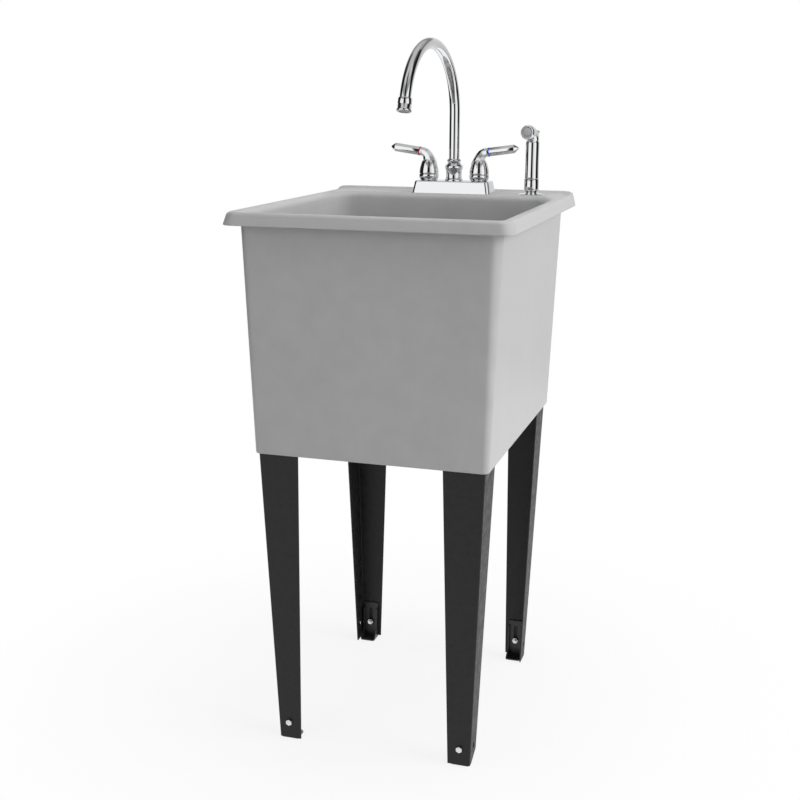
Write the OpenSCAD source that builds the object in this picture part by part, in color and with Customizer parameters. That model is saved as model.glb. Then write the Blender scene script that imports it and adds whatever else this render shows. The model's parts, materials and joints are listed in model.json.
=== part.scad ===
// Free-standing utility laundry sink with a two-lever faucet and a side sprayer.
// The floor is z = 0, the front is -Y and the origin is on the floor below the middle of the tub.

/* [Tub] */
// Width over the flared rim
rim_w = 451; // [430:1:480]
// Depth over the flared rim
rim_d = 533; // [510:1:570]
// Height of the side rims above the floor
rim_top = 880; // [860:1:900]
// Height of the turned-down flange
flange_h = 20; // [14:1:26]
// How far the flange leans out over its height
flange_flare = 5; // [2:0.5:8]
// Width of the skirt at its lower edge
skirt_w = 378; // [360:1:384]
// Depth of the skirt at its lower edge
skirt_d = 477; // [460:1:482]
// Height of the skirt's lower edge above the floor
skirt_bottom = 501; // [480:1:520]
// Gap between the flange's edge and the wall, seen from below, at the sides
flange_reach_x = 22; // [20:0.5:26]
// The same at the front and the back
flange_reach_y = 18.5; // [17:0.5:22]
// Thickness of the moulded skin
skin_t = 4; // [3:0.5:4.5]
// Thickness of the basin's walls
basin_t = 5; // [4.5:0.5:6]
// Thickness of the basin's floor
floor_t = 5; // [4:0.5:7]
// Height of the basin's floor above the skirt's lower edge
floor_lift = 58; // [50:1:70]
// Radius between the basin's floor and walls
floor_fillet = 25; // [15:1:30]

/* [Deck] */
// Distance from the rim's back edge forward to the deck's front edge
deck_front = 96.5; // [90:0.5:102]
// Rise of the deck over the side rims
deck_rise = 2; // [1:0.5:4]
// Rise of the back lip over the side rims
lip_rise = 5.5; // [4:0.5:9]
// Distance from the middle of the tub right to the faucet
faucet_x = 15.5; // [0:0.5:20]
// Distance from the rim's right edge inward to the sprayer
sprayer_offset = 70; // [66:0.5:76]

/* [Legs] */
// Thickness of the leg sheet
leg_t = 2; // [1.5:0.25:2.5]
// Width of each leg flange at the skirt
leg_top_w = 66; // [56:1:72]
// Width of each leg flange at the floor
leg_foot_w = 37; // [34:1:42]
// How far a leg's corner moves in toward the middle over its free height, sideways
leg_lean_x = 19.5; // [17:0.5:21]
// The same, front to back
leg_lean_y = 17; // [14:0.5:18]
// Radius of the leg's bend
leg_bend = 3; // [2.75:0.25:4]
// Width of a foot
foot_w = 28; // [24:1:29]
// Height of a foot
foot_h = 70; // [62:1:90]
// Thickness of the foot's sheet
foot_t = 2.5; // [2:0.25:3]
// Length of the toe that lies on the floor
toe_len = 25; // [20:1:32]
// Travel of a foot along its leg
foot_travel = 25; // [10:1:26]
// Radius of the foot bolt
foot_bolt_r = 3; // [2.5:0.25:3.5]

/* [Faucet] */
// Length of the faucet's cover plate
plate_l = 142; // [136:1:150]
// Depth of the cover plate
plate_d = 52; // [46:1:54]
// Height of the cover plate
plate_h = 21; // [18:0.5:26]
// Distance between the two inlet shanks
shank_spacing = 101.6; // [99:0.1:104]
// Radius of an inlet shank
shank_r = 10.4; // [10:0.1:11]
// Distance between the two lever hubs
hub_spacing = 92; // [90:0.5:96]
// Largest radius of a lever hub
hub_r = 17.6; // [16:0.1:18.5]
// Height of the lever's axis over the cover plate at the index ring
lever_rise = 50.5; // [47:0.5:56]
// Reach of a lever from its hub's axis
lever_reach = 70; // [60:1:80]
// Distance across the lever's corners
lever_thick = 16; // [14:0.5:18]
// Upward slope of a lever in degrees
lever_slope = 8; // [4:0.5:12]

/* [Spout] */
// Radius of the spout's tube
tube_r = 9.3; // [8:0.1:9.5]
// Wall of the spout's tube
tube_t = 1; // [0.75:0.25:1.5]
// Radius of the spout's arch, at the tube's centre
arch_r = 115.5; // [100:0.5:125]
// Height of the arch's centre over the deck
arch_rise = 136; // [120:1:150]
// Sweep of the arch in degrees
arch_sweep = 166; // [155:1:180]
// Turn of the resting spout toward the left in degrees
arch_turn = 5.5; // [0:0.5:15]
// Radius of the aerator
aerator_r = 11.4; // [11:0.1:12.5]
// Length of the aerator
aerator_l = 22; // [20:0.5:26]

/* [Sprayer] */
// Radius of the sprayer's deck flange
holder_flange_r = 23.5; // [20:0.5:26]
// Radius of the sprayer's cup
cup_r = 12.7; // [12.2:0.1:13.5]
// Height of the cup over the deck
cup_h = 27; // [24:0.5:32]
// Height of the spray head's centre over the deck
head_rise = 107; // [100:1:115]
// Distance from the handset's axis to the spray face
head_reach = 24; // [20:0.5:28]
// Radius of the spray head's rim
head_r = 11.3; // [10.5:0.1:12]
// Turn of the spray head toward the left in degrees
head_turn = 9; // [0:1:20]

/* [Drain] */
// Radius of the drain tailpiece
tail_r = 19.05; // [18:0.05:20]
// Radius of the strainer's flange
strainer_r = 38; // [34:1:42]
// Length of the tailpiece below the slip nut
tail_drop = 62; // [40:1:70]

/* [Hidden] */
$fn = 64;

// Cuts run this far past the faces they open
overrun = 1;
// Running clearance round a shaft
fit_gap = 0.05;
// Gap between a resting moving piece and its seat
seat_gap = 0.3;
tub_color = "#9a9b9d";
leg_color = "#262626";
chrome_color = "#c9ccd1";
zinc_color = "#b9bdc2";
brass_color = "#b08d4c";
plastic_color = "#e8e6e0";
rubber_color = "#2e2e30";
hot_color = "#c8323c";
cold_color = "#2f5fd0";
face_color = "#8f9296";

// Tub outline
corner_steps = 6;
side_shares = [0.4, 0.77, 0.82, 0.86, 0.93, 0.98];
// Corner radii of the rim, of the wall under the rim and of the skirt's lower edge
rim_corner = 20;
wall_corner = 18;
skirt_corner = 10;
// Inner corner radii of the basin under the rim and at the floor
basin_corner = 14;
basin_low_corner = 30;
// Rounding of the rim's outer edge, of its roll into the basin and of the lower edges
rim_edge = 5;
rim_roll = 10;
edge_break = 1.5;
// Where the deck's ramp starts in front of the deck edge, and the lip's width
deck_ramp = 46;
lip_w = 20;
lip_slope = 14;
// How far the basin's back wall leans forward over its height
back_lean = 15;
flange_bottom = rim_top - flange_h;
deck_z = rim_top + deck_rise;
deck_under = deck_z - skin_t;
floor_z = skirt_bottom + floor_lift;
floor_under = floor_z - floor_t;
back_y = rim_d / 2;
deck_y = back_y - deck_front;
wall_top_x = rim_w / 2 - flange_reach_x;
wall_top_y = rim_d / 2 - flange_reach_y;
skirt_half_x = skirt_w / 2;
skirt_half_y = skirt_d / 2;
wall_run = flange_bottom - skirt_bottom;
roll_top_x = wall_x(rim_top - rim_roll) - basin_t + rim_roll;
roll_top_y = wall_y(rim_top - rim_roll) - basin_t + rim_roll;
crest_x = rim_w / 2 - flange_flare - rim_edge;
crest_y = rim_d / 2 - flange_flare - rim_edge;
lip_inner_y = back_y - flange_flare - rim_edge - lip_w;
// The faucet's middle, far enough left for its lever to pass the sprayer
lever_gap = 10;
lever_span = hub_spacing / 2 + lever_reach + lever_gap + cup_r;
faucet_mid = min(faucet_x, rim_w / 2 - sprayer_offset - lever_span);
// The sprayer's place, measured from the faucet's middle
sprayer_x = rim_w / 2 - sprayer_offset - faucet_mid;
// The cover plate's front edge stands at the deck's front edge
faucet_y = deck_y + plate_d / 2;

// Half width and half depth of the tub's outer wall at a height
function wall_x(z) = skirt_half_x + (wall_top_x - skirt_half_x) * (z - skirt_bottom) / wall_run;
function wall_y(z) = skirt_half_y + (wall_top_y - skirt_half_y) * (z - skirt_bottom) / wall_run;
// Front face of the basin's back wall at a height
function back_wall_y(z) = deck_y - rim_roll - back_lean * (rim_top - z) / (rim_top - floor_z);
// Smooth step from 0 to 1
function smooth(t) = let (u = min(1, max(0, t))) u * u * (3 - 2 * u);
// Rise of the top surfaces toward the back
function deck_ramp_at(y) = deck_rise * smooth((y - deck_y + deck_ramp) / deck_ramp);
function lip_ramp_at(y) = (lip_rise - deck_rise) * smooth((y - lip_inner_y) / lip_slope);
function rise(y) = deck_ramp_at(y) + lip_ramp_at(y);
function lifted(x, y, z, lift) = [x, y, z + lift * rise(y)];

// Points of a rounded rectangle, counter-clockwise from the front right corner's front end
function corner_arc(cx, cy, r, start, z, lift) = [
  for (k = [0:corner_steps])
    let (a = start + 90 * k / corner_steps)
      lifted(cx + r * cos(a), cy + r * sin(a), z, lift)
];
function ring(half_x, front_y, back_y, r, z, lift = 0) =
  let (run = back_y - front_y - 2 * r, low = front_y + r, high = back_y - r)
    concat(
      corner_arc(half_x - r, low, r, -90, z, lift),
      [for (s = side_shares) lifted(half_x, low + run * s, z, lift)],
      corner_arc(half_x - r, high, r, 0, z, lift),
      corner_arc(r - half_x, high, r, 90, z, lift),
      [for (k = [len(side_shares) - 1:-1:0]) lifted(-half_x, low + run * side_shares[k], z, lift)],
      corner_arc(r - half_x, low, r, 180, z, lift)
    );
function box_ring(half_x, half_y, r, z) = ring(half_x, -half_y, half_y, r, z);

// A closed skin through rings of equal point counts, first ring to last ring
// A thin section is closed at its ends by a strip from its outer to its inner points
module loft(rings, thin = false) {
  n = len(rings[0]);
  last = (len(rings) - 1) * n;
  sides = [
    for (i = [0:len(rings) - 2])
      for (j = [0:n - 1])
        let (a = i * n + j, b = i * n + (j + 1) % n)
          each [[a, a + n, b], [b, a + n, b + n]]
  ];
  caps = thin
    ? [
      for (i = [0:n / 2 - 2])
        each [[i, i + 1, n - 2 - i, n - 1 - i], [last + n - 1 - i, last + n - 2 - i, last + i + 1, last + i]]
    ]
    : [[for (j = [0:n - 1]) j], [for (j = [0:n - 1]) last + n - 1 - j]];
  polyhedron([for (r = rings) each r], concat(sides, caps));
}

// Rings of the tub: under the floor, round the skirt, up the wall, round the rim, down the basin
roof_z = rim_top - skin_t;
roof_x = rim_w / 2 - flange_flare - skin_t;
roof_y = rim_d / 2 - flange_flare - skin_t;
fillet_steps = 4;
roll_steps = 3;
function wall_ring(z, inset, r, lift = 0) = ring(wall_x(z) - inset, inset - wall_y(z), wall_y(z) - inset, r, z, lift);
function edge_ring(a) =
  let (out = rim_edge * sin(a), fall = rim_edge * (1 - cos(a)), flare = flange_flare * fall / flange_h)
    ring(crest_x + out + flare, -crest_y - out - flare, crest_y + out + flare, rim_corner, rim_top - fall, 1);
function roll_ring(a) =
  let (inset = rim_roll * sin(a), fall = rim_roll * (1 - cos(a)))
    ring(roll_top_x - inset, inset - roll_top_y, deck_y - inset, basin_corner, rim_top - fall, 1);
function fillet_ring(a) =
  let (
    z = floor_z + floor_fillet * (1 - sin(a)),
    inset = floor_fillet * (1 - cos(a)),
    top = floor_z + floor_fillet,
    side = wall_x(top) - basin_t - inset,
    front = inset + basin_t - wall_y(top)
  )
    ring(side, front, back_wall_y(top) - inset, basin_low_corner - inset, z);
tub_rings = concat(
  [wall_ring(floor_under, skin_t, skirt_corner - skin_t)],
  [wall_ring(skirt_bottom, skin_t, skirt_corner - skin_t)],
  [wall_ring(skirt_bottom, edge_break, skirt_corner - edge_break)],
  [wall_ring(skirt_bottom + edge_break, 0, skirt_corner)],
  [wall_ring(roof_z, 0, wall_corner, 1)],
  [ring(roof_x, -roof_y, roof_y, rim_corner - skin_t, roof_z, 1)],
  [ring(roof_x + flange_flare, -roof_y - flange_flare, roof_y + flange_flare, rim_corner - skin_t, flange_bottom)],
  [ring(rim_w / 2 - edge_break, edge_break - rim_d / 2, rim_d / 2 - edge_break, rim_corner, flange_bottom)],
  [ring(rim_w / 2, -rim_d / 2, rim_d / 2, rim_corner, flange_bottom + edge_break)],
  [for (k = [roll_steps:-1:0]) edge_ring(90 * k / roll_steps)],
  [ring((crest_x + roll_top_x) / 2, -(crest_y + roll_top_y) / 2, lip_inner_y, rim_corner, rim_top, 1)],
  [for (k = [0:roll_steps]) roll_ring(90 * k / roll_steps)],
  [for (k = [0:fillet_steps]) fillet_ring(90 * k / fillet_steps)]
);
service_rings = [
  for (z = [floor_z, deck_under])
    ring(wall_x(z) - skin_t, back_wall_y(z) + basin_t, wall_y(z) - skin_t, skirt_corner - skin_t, z)
];
// Hole through the shelf behind the basin, between the rear legs
access_edge = 6;

// Legs: the corner line leans in toward the floor
leg_inset = 5.5;
access_half_x = skirt_half_x - leg_inset - leg_top_w - access_edge;
leg_bottom = 2;
leg_top = floor_under;
bend_steps = 4;
// The legs stand off the skirt's lower edge and stay inside the walls up to their tops
leg_play = 0.5;
leg_rise = leg_top - skirt_bottom;
leg_seat_x = min(skirt_half_x, wall_x(leg_top) + leg_play - leg_lean_x * leg_rise / skirt_bottom);
leg_seat_y = min(skirt_half_y, wall_y(leg_top) + leg_play - leg_lean_y * leg_rise / skirt_bottom);
function lean_x(z) = leg_seat_x - leg_inset - leg_lean_x * (skirt_bottom - z) / skirt_bottom;
function lean_y(z) = leg_inset - leg_seat_y + leg_lean_y * (skirt_bottom - z) / skirt_bottom;
function leg_w(z) = leg_foot_w + (leg_top_w - leg_foot_w) * z / skirt_bottom;
// Outline of an angle section whose corner lies at the right front
function angle_ring(z, inset, t, w, r) =
  let (x = lean_x(z) - inset, y = lean_y(z) + inset)
    concat(
      [[x - w, y, z]],
      [for (k = [0:bend_steps]) let (a = 90 * k / bend_steps - 90) [x - r + r * cos(a), y + r + r * sin(a), z]],
      [[x, y + w, z], [x - t, y + w, z]],
      [
        for (k = [bend_steps:-1:0])
          let (a = 90 * k / bend_steps - 90)
            [x - r + (r - t) * cos(a), y + r + (r - t) * sin(a), z]
      ],
      [[x - w, y + t, z]]
    );
// Sockets: ribs under the floor that hold the legs against the skirt
socket_t = 3;
socket_w = 44;
socket_h = 45;
socket_bend = 4;
socket_gap = 0.3;
access_d = wall_y(floor_under) - skin_t - back_wall_y(floor_z) - basin_t;

module place(left, rear) {
  mirror([left ? 1 : 0, 0, 0]) mirror([0, rear ? 1 : 0, 0]) children();
}

module socket_rib() {
  inset = leg_t + socket_gap;
  low = floor_under - socket_h;
  high = floor_under + overrun;
  rings = [for (z = [low, high]) angle_ring(z, inset, socket_t, socket_w, socket_bend)];
  loft(rings, thin = true);
}

// Drain place and sizes
strainer_wall = 3;
drain_y = (back_wall_y(floor_z) - wall_y(floor_z)) / 2;
strainer_body_r = tail_r + strainer_wall;
recess_depth = 2;
floor_hole_gap = 0.3;

module tub() {
  color(tub_color)
    difference() {
      union() {
        difference() {
          loft(tub_rings);
          loft(service_rings);
          translate([-access_half_x, back_wall_y(floor_z) + basin_t, floor_under - overrun])
            cube([2 * access_half_x, access_d, floor_t + 2 * overrun]);
        }
        for (left = [false, true])
          for (rear = [false, true])
            place(left, rear) socket_rib();
      }
      translate([0, drain_y, floor_under - overrun])
        cylinder(r = strainer_body_r + floor_hole_gap, h = floor_t + 2 * overrun);
      translate([0, drain_y, floor_z - recess_depth])
        cylinder(r = strainer_r + floor_hole_gap, h = recess_depth + overrun);
      for (side = [-1, 1])
        translate([faucet_mid + side * shank_spacing / 2, faucet_y, deck_under - overrun])
          cylinder(r = shank_hole_r, h = skin_t + 2 * overrun);
      translate([faucet_mid + sprayer_x, faucet_y, deck_under - overrun])
        cylinder(r = holder_shank_r + hole_gap, h = skin_t + 2 * overrun);
    }
}

// Leg holes and bolts, placed on the outer face of the front flange
bolt_z = 31;
bolt_edge = 18.5;
bolt_hole_gap = 0.2;
side_slot_r = 3.5;
side_slot_l = 3;
side_slot_share = 0.5;
side_slant = 14;
bolt_tilt = atan(leg_lean_y / skirt_bottom);
side_tilt = atan(leg_lean_x / skirt_bottom);
sheet_y = leg_t * cos(bolt_tilt);

// Local z is the flange's outward normal, local y runs up along the flange
module on_flange() {
  translate([lean_x(bolt_z) - bolt_edge, lean_y(bolt_z), bolt_z])
    rotate([90 + bolt_tilt, 0, 0])
      children();
}

module side_slot() {
  span = leg_w(bolt_z) * side_slot_share;
  translate([lean_x(bolt_z), lean_y(bolt_z) + span, bolt_z])
    rotate([0, 90 - side_tilt, 0])
      for (k = [-1, 1])
        translate([k * side_slot_l / 2, 0, -leg_t - overrun])
          cylinder(r = side_slot_r, h = leg_t + 2 * overrun, $fn = 32);
}

// Slanted lower end of a front leg's side flange
module side_slant_cut() {
  y = lean_y(0);
  translate([lean_x(0) + leg_t, 0, 0])
    rotate([0, -90, 0])
      linear_extrude(height = leg_t * 2 + leg_bend)
        polygon([
          [0, y + 2 * leg_bend],
          [leg_bottom + side_slant, y + leg_foot_w + overrun],
          [0, y + leg_foot_w + overrun]
        ]);
}

module leg(left, rear) {
  rings = [for (z = [leg_bottom, leg_top]) angle_ring(z, 0, leg_t, leg_w(z), leg_bend)];
  color(leg_color)
    place(left, rear)
      difference() {
        loft(rings, thin = true);
        on_flange()
          translate([0, 0, -leg_t - overrun])
            cylinder(r = foot_bolt_r + bolt_hole_gap, h = leg_t + 2 * overrun);
        side_slot();
        if (!rear)
          side_slant_cut();
      }
}

module leg_front_left() { leg(true, false); }
module leg_front_right() { leg(false, false); }
module leg_rear_left() { leg(true, true); }
module leg_rear_right() { leg(false, true); }

// Foot sizes: side wings, gusset toward the toe, cut corners
foot_slot_gap = 0.5;
foot_corner = 2;
foot_shoulder = 10;
wing_depth = 7;
gusset_z = 20;
gusset_low = 9;
toe_cut = 3;
foot_back = sheet_y + seat_gap;
// The wings and the toe start in the middle of the foot's sheet
foot_root_y = lean_y(0) + leg_t + seat_gap + foot_t / 2;

module foot_sheet() {
  up = foot_h - bolt_z;
  down = bolt_z + overrun;
  difference() {
    on_flange()
      translate([0, 0, -foot_back - foot_t])
        difference() {
          linear_extrude(height = foot_t)
            polygon([
              [-foot_w / 2, -down],
              [foot_w / 2, -down],
              [foot_w / 2, up - foot_corner],
              [foot_w / 2 - foot_corner, up],
              [foot_corner - foot_w / 2, up],
              [-foot_w / 2, up - foot_corner]
            ]);
          for (v = [0, foot_travel])
            translate([0, v, -overrun])
              cylinder(r = foot_bolt_r + foot_slot_gap, h = foot_t + 2 * overrun);
          translate([-foot_bolt_r - foot_slot_gap, 0, -overrun])
            cube([2 * (foot_bolt_r + foot_slot_gap), foot_travel, foot_t + 2 * overrun]);
        }
    translate([0, lean_y(0) - toe_len, -2 * foot_t])
      cube([rim_w / 2, 2 * toe_len, 2 * foot_t]);
  }
}

// Side wing, drawn in the upright plane with its first coordinate pointing to the middle
module foot_wing() {
  y0 = foot_root_y;
  top = foot_h - foot_shoulder;
  dy = leg_lean_y * top / skirt_bottom;
  rotate([90, 0, 90])
    linear_extrude(height = foot_t)
      polygon([
        [y0, 0],
        [y0 + toe_len - toe_cut, 0],
        [y0 + toe_len - toe_cut, foot_t],
        [y0 + wing_depth * 2, gusset_low],
        [y0 + wing_depth, gusset_z],
        [y0 + wing_depth - dy, top],
        [y0 - dy, top]
      ]);
}

module foot(left, rear) {
  x_mid = lean_x(bolt_z) - bolt_edge;
  y0 = foot_root_y;
  half = foot_w / 2 - fit_gap;
  color(leg_color)
    place(left, rear)
      union() {
        foot_sheet();
        for (x = [x_mid - half, x_mid + half - foot_t])
          translate([x, 0, 0]) foot_wing();
        linear_extrude(height = foot_t)
          polygon([
            [x_mid - half, y0],
            [x_mid + half, y0],
            [x_mid + half, y0 + toe_len - toe_cut],
            [x_mid + half - toe_cut, y0 + toe_len],
            [x_mid - half + toe_cut, y0 + toe_len],
            [x_mid - half, y0 + toe_len - toe_cut]
          ]);
      }
}

module foot_front_left() { foot(true, false); }
module foot_front_right() { foot(false, false); }
module foot_rear_left() { foot(true, true); }
module foot_rear_right() { foot(false, true); }

head_r_share = 1.9;
head_h_share = 1.35;
nut_h_share = 1.6;
bolt_head_r = foot_bolt_r * head_r_share;
bolt_head_h = foot_bolt_r * head_h_share;
nut_h = foot_bolt_r * nut_h_share;
bolt_end = 3;
nut_seat = foot_back + foot_t + seat_gap;

module foot_bolts() {
  color(zinc_color)
    for (left = [false, true])
      for (rear = [false, true])
        place(left, rear)
          on_flange()
            union() {
              cylinder(r = bolt_head_r, h = bolt_head_h, $fn = 6);
              translate([0, 0, -nut_seat - nut_h - bolt_end])
                cylinder(r = foot_bolt_r, h = nut_seat + nut_h + bolt_end + bolt_head_h / 2, $fn = 32);
            }
}

module foot_nuts() {
  color(zinc_color)
    for (left = [false, true])
      for (rear = [false, true])
        place(left, rear)
          on_flange()
            translate([0, 0, -nut_seat - nut_h])
              difference() {
                cylinder(r = bolt_head_r, h = nut_h, $fn = 6);
                translate([0, 0, -overrun])
                  cylinder(r = foot_bolt_r + fit_gap, h = nut_h + 2 * overrun, $fn = 32);
              }
}

// Drain
strainer_flange_t = 2.2;
strainer_drop = 36;
strainer_lip_t = 1.6;
grid_t = 2.5;
grid_h = 4;
grid_depth = 12;
seal_t = 3;
seal_r = 34;
locknut_r = 36;
locknut_h = 9;
slip_r = 27;
slip_h = 22;
slip_lip = 6;
tail_t = 1.5;
tail_flange_t = 2.2;
strainer_low = floor_under - strainer_drop;
flange_seat = floor_z - recess_depth;

// Length of the tailpiece's plain end and the shallow groove above it
tail_joint = 56;
relief = 0.8;
relief_h = 1.5;

module at_drain(z) {
  translate([0, drain_y, z]) children();
}

// Ring that cuts a shallow groove round a shaft
module relief_groove(r) {
  difference() {
    cylinder(r = r + overrun, h = relief_h);
    translate([0, 0, -overrun]) cylinder(r = r - relief, h = relief_h + 2 * overrun);
  }
}

module drain_strainer() {
  bore = strainer_body_r - strainer_wall;
  color(zinc_color)
    at_drain(0)
      union() {
        rotate_extrude()
          polygon([
            [bore, strainer_low],
            [strainer_body_r, strainer_low],
            [strainer_body_r, flange_seat],
            [strainer_r, flange_seat],
            [strainer_r - strainer_lip_t, flange_seat + strainer_flange_t],
            [bore + 2 * strainer_flange_t, flange_seat + strainer_flange_t],
            [bore, flange_seat - strainer_flange_t]
          ]);
        translate([0, 0, flange_seat - grid_depth]) cylinder(r = 2 * grid_t, h = grid_h);
        for (a = [30:60:330])
          rotate([0, 0, a])
            translate([grid_t, -grid_t / 2, flange_seat - grid_depth])
              cube([bore + strainer_wall / 2 - grid_t, grid_t, grid_h]);
      }
}

module drain_gasket() {
  color(rubber_color)
    at_drain(floor_under - seal_t)
      difference() {
        cylinder(r = seal_r, h = seal_t);
        translate([0, 0, -overrun])
          cylinder(r = strainer_body_r + fit_gap, h = seal_t + 2 * overrun);
      }
}

module drain_locknut() {
  color(zinc_color)
    at_drain(floor_under - seal_t - locknut_h)
      difference() {
        cylinder(r = locknut_r, h = locknut_h, $fn = 8);
        translate([0, 0, -overrun])
          cylinder(r = strainer_body_r + fit_gap, h = locknut_h + 2 * overrun);
      }
}

module drain_tailpiece() {
  low = strainer_low - slip_lip - tail_flange_t - tail_drop;
  color(zinc_color)
    at_drain(0)
      rotate_extrude()
        polygon([
          [tail_r - tail_t, low],
          [tail_r, low],
          [tail_r, low + tail_joint],
          [tail_r - relief, low + tail_joint],
          [tail_r - relief, low + tail_joint + relief_h],
          [tail_r, low + tail_joint + relief_h],
          [tail_r, strainer_low - tail_flange_t],
          [strainer_body_r, strainer_low - tail_flange_t],
          [strainer_body_r, strainer_low],
          [tail_r - tail_t, strainer_low]
        ]);
}

module drain_slip_nut() {
  lip_top = strainer_low - tail_flange_t;
  lip_low = lip_top - slip_lip;
  color(zinc_color)
    at_drain(lip_low)
      difference() {
        cylinder(r = slip_r, h = slip_h, $fn = 8);
        translate([0, 0, -overrun])
          cylinder(r = tail_r + fit_gap, h = slip_h);
        translate([0, 0, slip_lip])
          cylinder(r = strainer_body_r + fit_gap, h = slip_h);
      }
}

// Faucet cover plate, gasket and body
plate_draft = 4;
plate_corner = 7;
plate_edge = 2;
plate_wall = 2;
shank_hole_room = 3.6;
shank_hole_r = shank_r + shank_hole_room;
hole_gap = 0.7;
gasket_t = 2;
gasket_inset = 2;
plate_top = deck_z + plate_h;
barrel_r = 12;
cartridge_r = 8.5;
stem_r = 4;
post_r = 12;
bar_w = 16;
bar_h = 12;
shank_drop = 50;
shank_thread = 31;
shank_bore = 7;
body_floor = 4;
barrel_over = 8;
post_over = 18;
waterway_r = 3;
body_z = deck_z + gasket_t;
bonnet_h = 11.5;
bonnet_top = plate_top + bonnet_h;
bushing_t = 1.2;
post_bore = tube_r + fit_gap + bushing_t + fit_gap;

module at_faucet(x, z) {
  translate([faucet_mid + x, faucet_y, z]) children();
}

module faucet_plate() {
  hx = plate_l / 2;
  hy = plate_d / 2;
  ix = hx - plate_wall;
  iy = hy - plate_wall;
  color(chrome_color)
    at_faucet(0, 0)
      difference() {
        loft([
          box_ring(hx, hy, plate_corner, deck_z),
          box_ring(hx - plate_draft, hy - plate_draft, plate_corner, plate_top - plate_edge),
          box_ring(hx - plate_draft - plate_edge, hy - plate_draft - plate_edge, plate_corner, plate_top)
        ]);
        loft([
          box_ring(ix, iy, plate_corner - plate_wall, deck_z - overrun),
          box_ring(ix - plate_draft, iy - plate_draft, plate_corner - plate_wall, plate_top - plate_wall)
        ]);
        for (side = [-1, 1])
          translate([side * hub_spacing / 2, 0, deck_z])
            cylinder(r = barrel_r + fit_gap, h = plate_h + overrun);
        translate([0, 0, deck_z])
          cylinder(r = post_r + fit_gap, h = plate_h + overrun);
      }
}

module faucet_gasket() {
  hx = plate_l / 2 - plate_wall - gasket_inset;
  hy = plate_d / 2 - plate_wall - gasket_inset;
  color(rubber_color)
    at_faucet(0, 0)
      difference() {
        loft([
          box_ring(hx, hy, plate_corner - plate_wall, deck_z),
          box_ring(hx, hy, plate_corner - plate_wall, deck_z + gasket_t)
        ]);
        for (side = [-1, 1])
          translate([side * shank_spacing / 2, 0, deck_z - overrun])
            cylinder(r = shank_r + fit_gap, h = gasket_t + 2 * overrun);
      }
}

module faucet_body() {
  barrel_h = plate_top + barrel_over - body_z;
  post_h = plate_top + post_over - body_z;
  color(brass_color)
    at_faucet(0, body_z)
      difference() {
        union() {
          translate([-hub_spacing / 2, -bar_w / 2, 0]) cube([hub_spacing, bar_w, bar_h]);
          for (side = [-1, 1]) {
            translate([side * hub_spacing / 2, 0, 0]) cylinder(r = barrel_r, h = barrel_h);
            translate([side * shank_spacing / 2, 0, -shank_drop - gasket_t])
              cylinder(r = shank_r, h = shank_drop + gasket_t + body_floor / 2);
          }
          cylinder(r = post_r, h = post_h);
        }
        for (side = [-1, 1]) {
          translate([side * shank_spacing / 2, 0, -shank_drop - gasket_t - overrun])
            cylinder(r = shank_bore, h = shank_drop + gasket_t + overrun + body_floor / 4);
          translate([side * shank_spacing / 2, 0, shank_thread - shank_drop - gasket_t])
            relief_groove(shank_r);
          translate([side * hub_spacing / 2, 0, 0])
            cylinder(r = waterway_r, h = body_floor + overrun);
          translate([side * hub_spacing / 2, 0, body_floor])
            cylinder(r = cartridge_r + fit_gap, h = barrel_h);
        }
        translate([0, 0, body_floor])
          cylinder(r = post_bore, h = post_h);
        translate([-hub_spacing / 2, 0, body_floor + waterway_r])
          rotate([0, 90, 0]) cylinder(r = waterway_r, h = hub_spacing);
      }
}

// Washers and nuts below the deck
washer_t = 2.5;
washer_over = 6;
shank_nut_r = 17.5;
shank_nut_h = 10;

module shank_washers() {
  color(rubber_color)
    for (side = [-1, 1])
      at_faucet(side * shank_spacing / 2, deck_under - washer_t)
        difference() {
          cylinder(r = shank_r + washer_over, h = washer_t);
          translate([0, 0, -overrun])
            cylinder(r = shank_r + fit_gap, h = washer_t + 2 * overrun);
        }
}

module shank_nuts() {
  color(plastic_color)
    for (side = [-1, 1])
      at_faucet(side * shank_spacing / 2, deck_under - washer_t - shank_nut_h)
        difference() {
          cylinder(r = shank_nut_r, h = shank_nut_h, $fn = 6);
          translate([0, 0, -overrun])
            cylinder(r = shank_r + fit_gap, h = shank_nut_h + 2 * overrun);
        }
}

// Valve pieces, the same on both sides
cartridge_z = body_z + body_floor;
bonnet_foot_in = 3.4;
bonnet_edge = 1;
bonnet_shares = [0.25, 0.5, 0.8];
cartridge_h = bonnet_top - cartridge_z - bonnet_edge / 2;
stem_seat = 4;
hub_h = 28;
hub_z = bonnet_top + seat_gap;
stem_up = 15;
hub_cavity_r = 10;
hub_cavity_h = 4;
screw_r = 2;
screw_share = 0.8;
screw_up = 10;
ring_w = 2;
ring_out = 0.5;
ring_reach = 16;
groove = 0.6;
lever_r = lever_thick / 2;
tip_len = 7.5;
tip_r = 2.2;
elbow_reach = 4;
neck_drop = 8;
neck_r = 13.2;

module at_hub(side) {
  at_faucet(side * hub_spacing / 2, 0) children();
}

module cartridge(side) {
  color(plastic_color)
    at_hub(side)
      translate([0, 0, cartridge_z])
        difference() {
          cylinder(r = cartridge_r, h = cartridge_h);
          translate([0, 0, stem_seat])
            cylinder(r = stem_r + fit_gap, h = cartridge_h);
        }
}

module stem(side) {
  low = cartridge_z + stem_seat + seat_gap;
  color(brass_color)
    at_hub(side)
      translate([0, 0, low])
        cylinder(r = stem_r, h = hub_z + stem_up - low);
}

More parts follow.
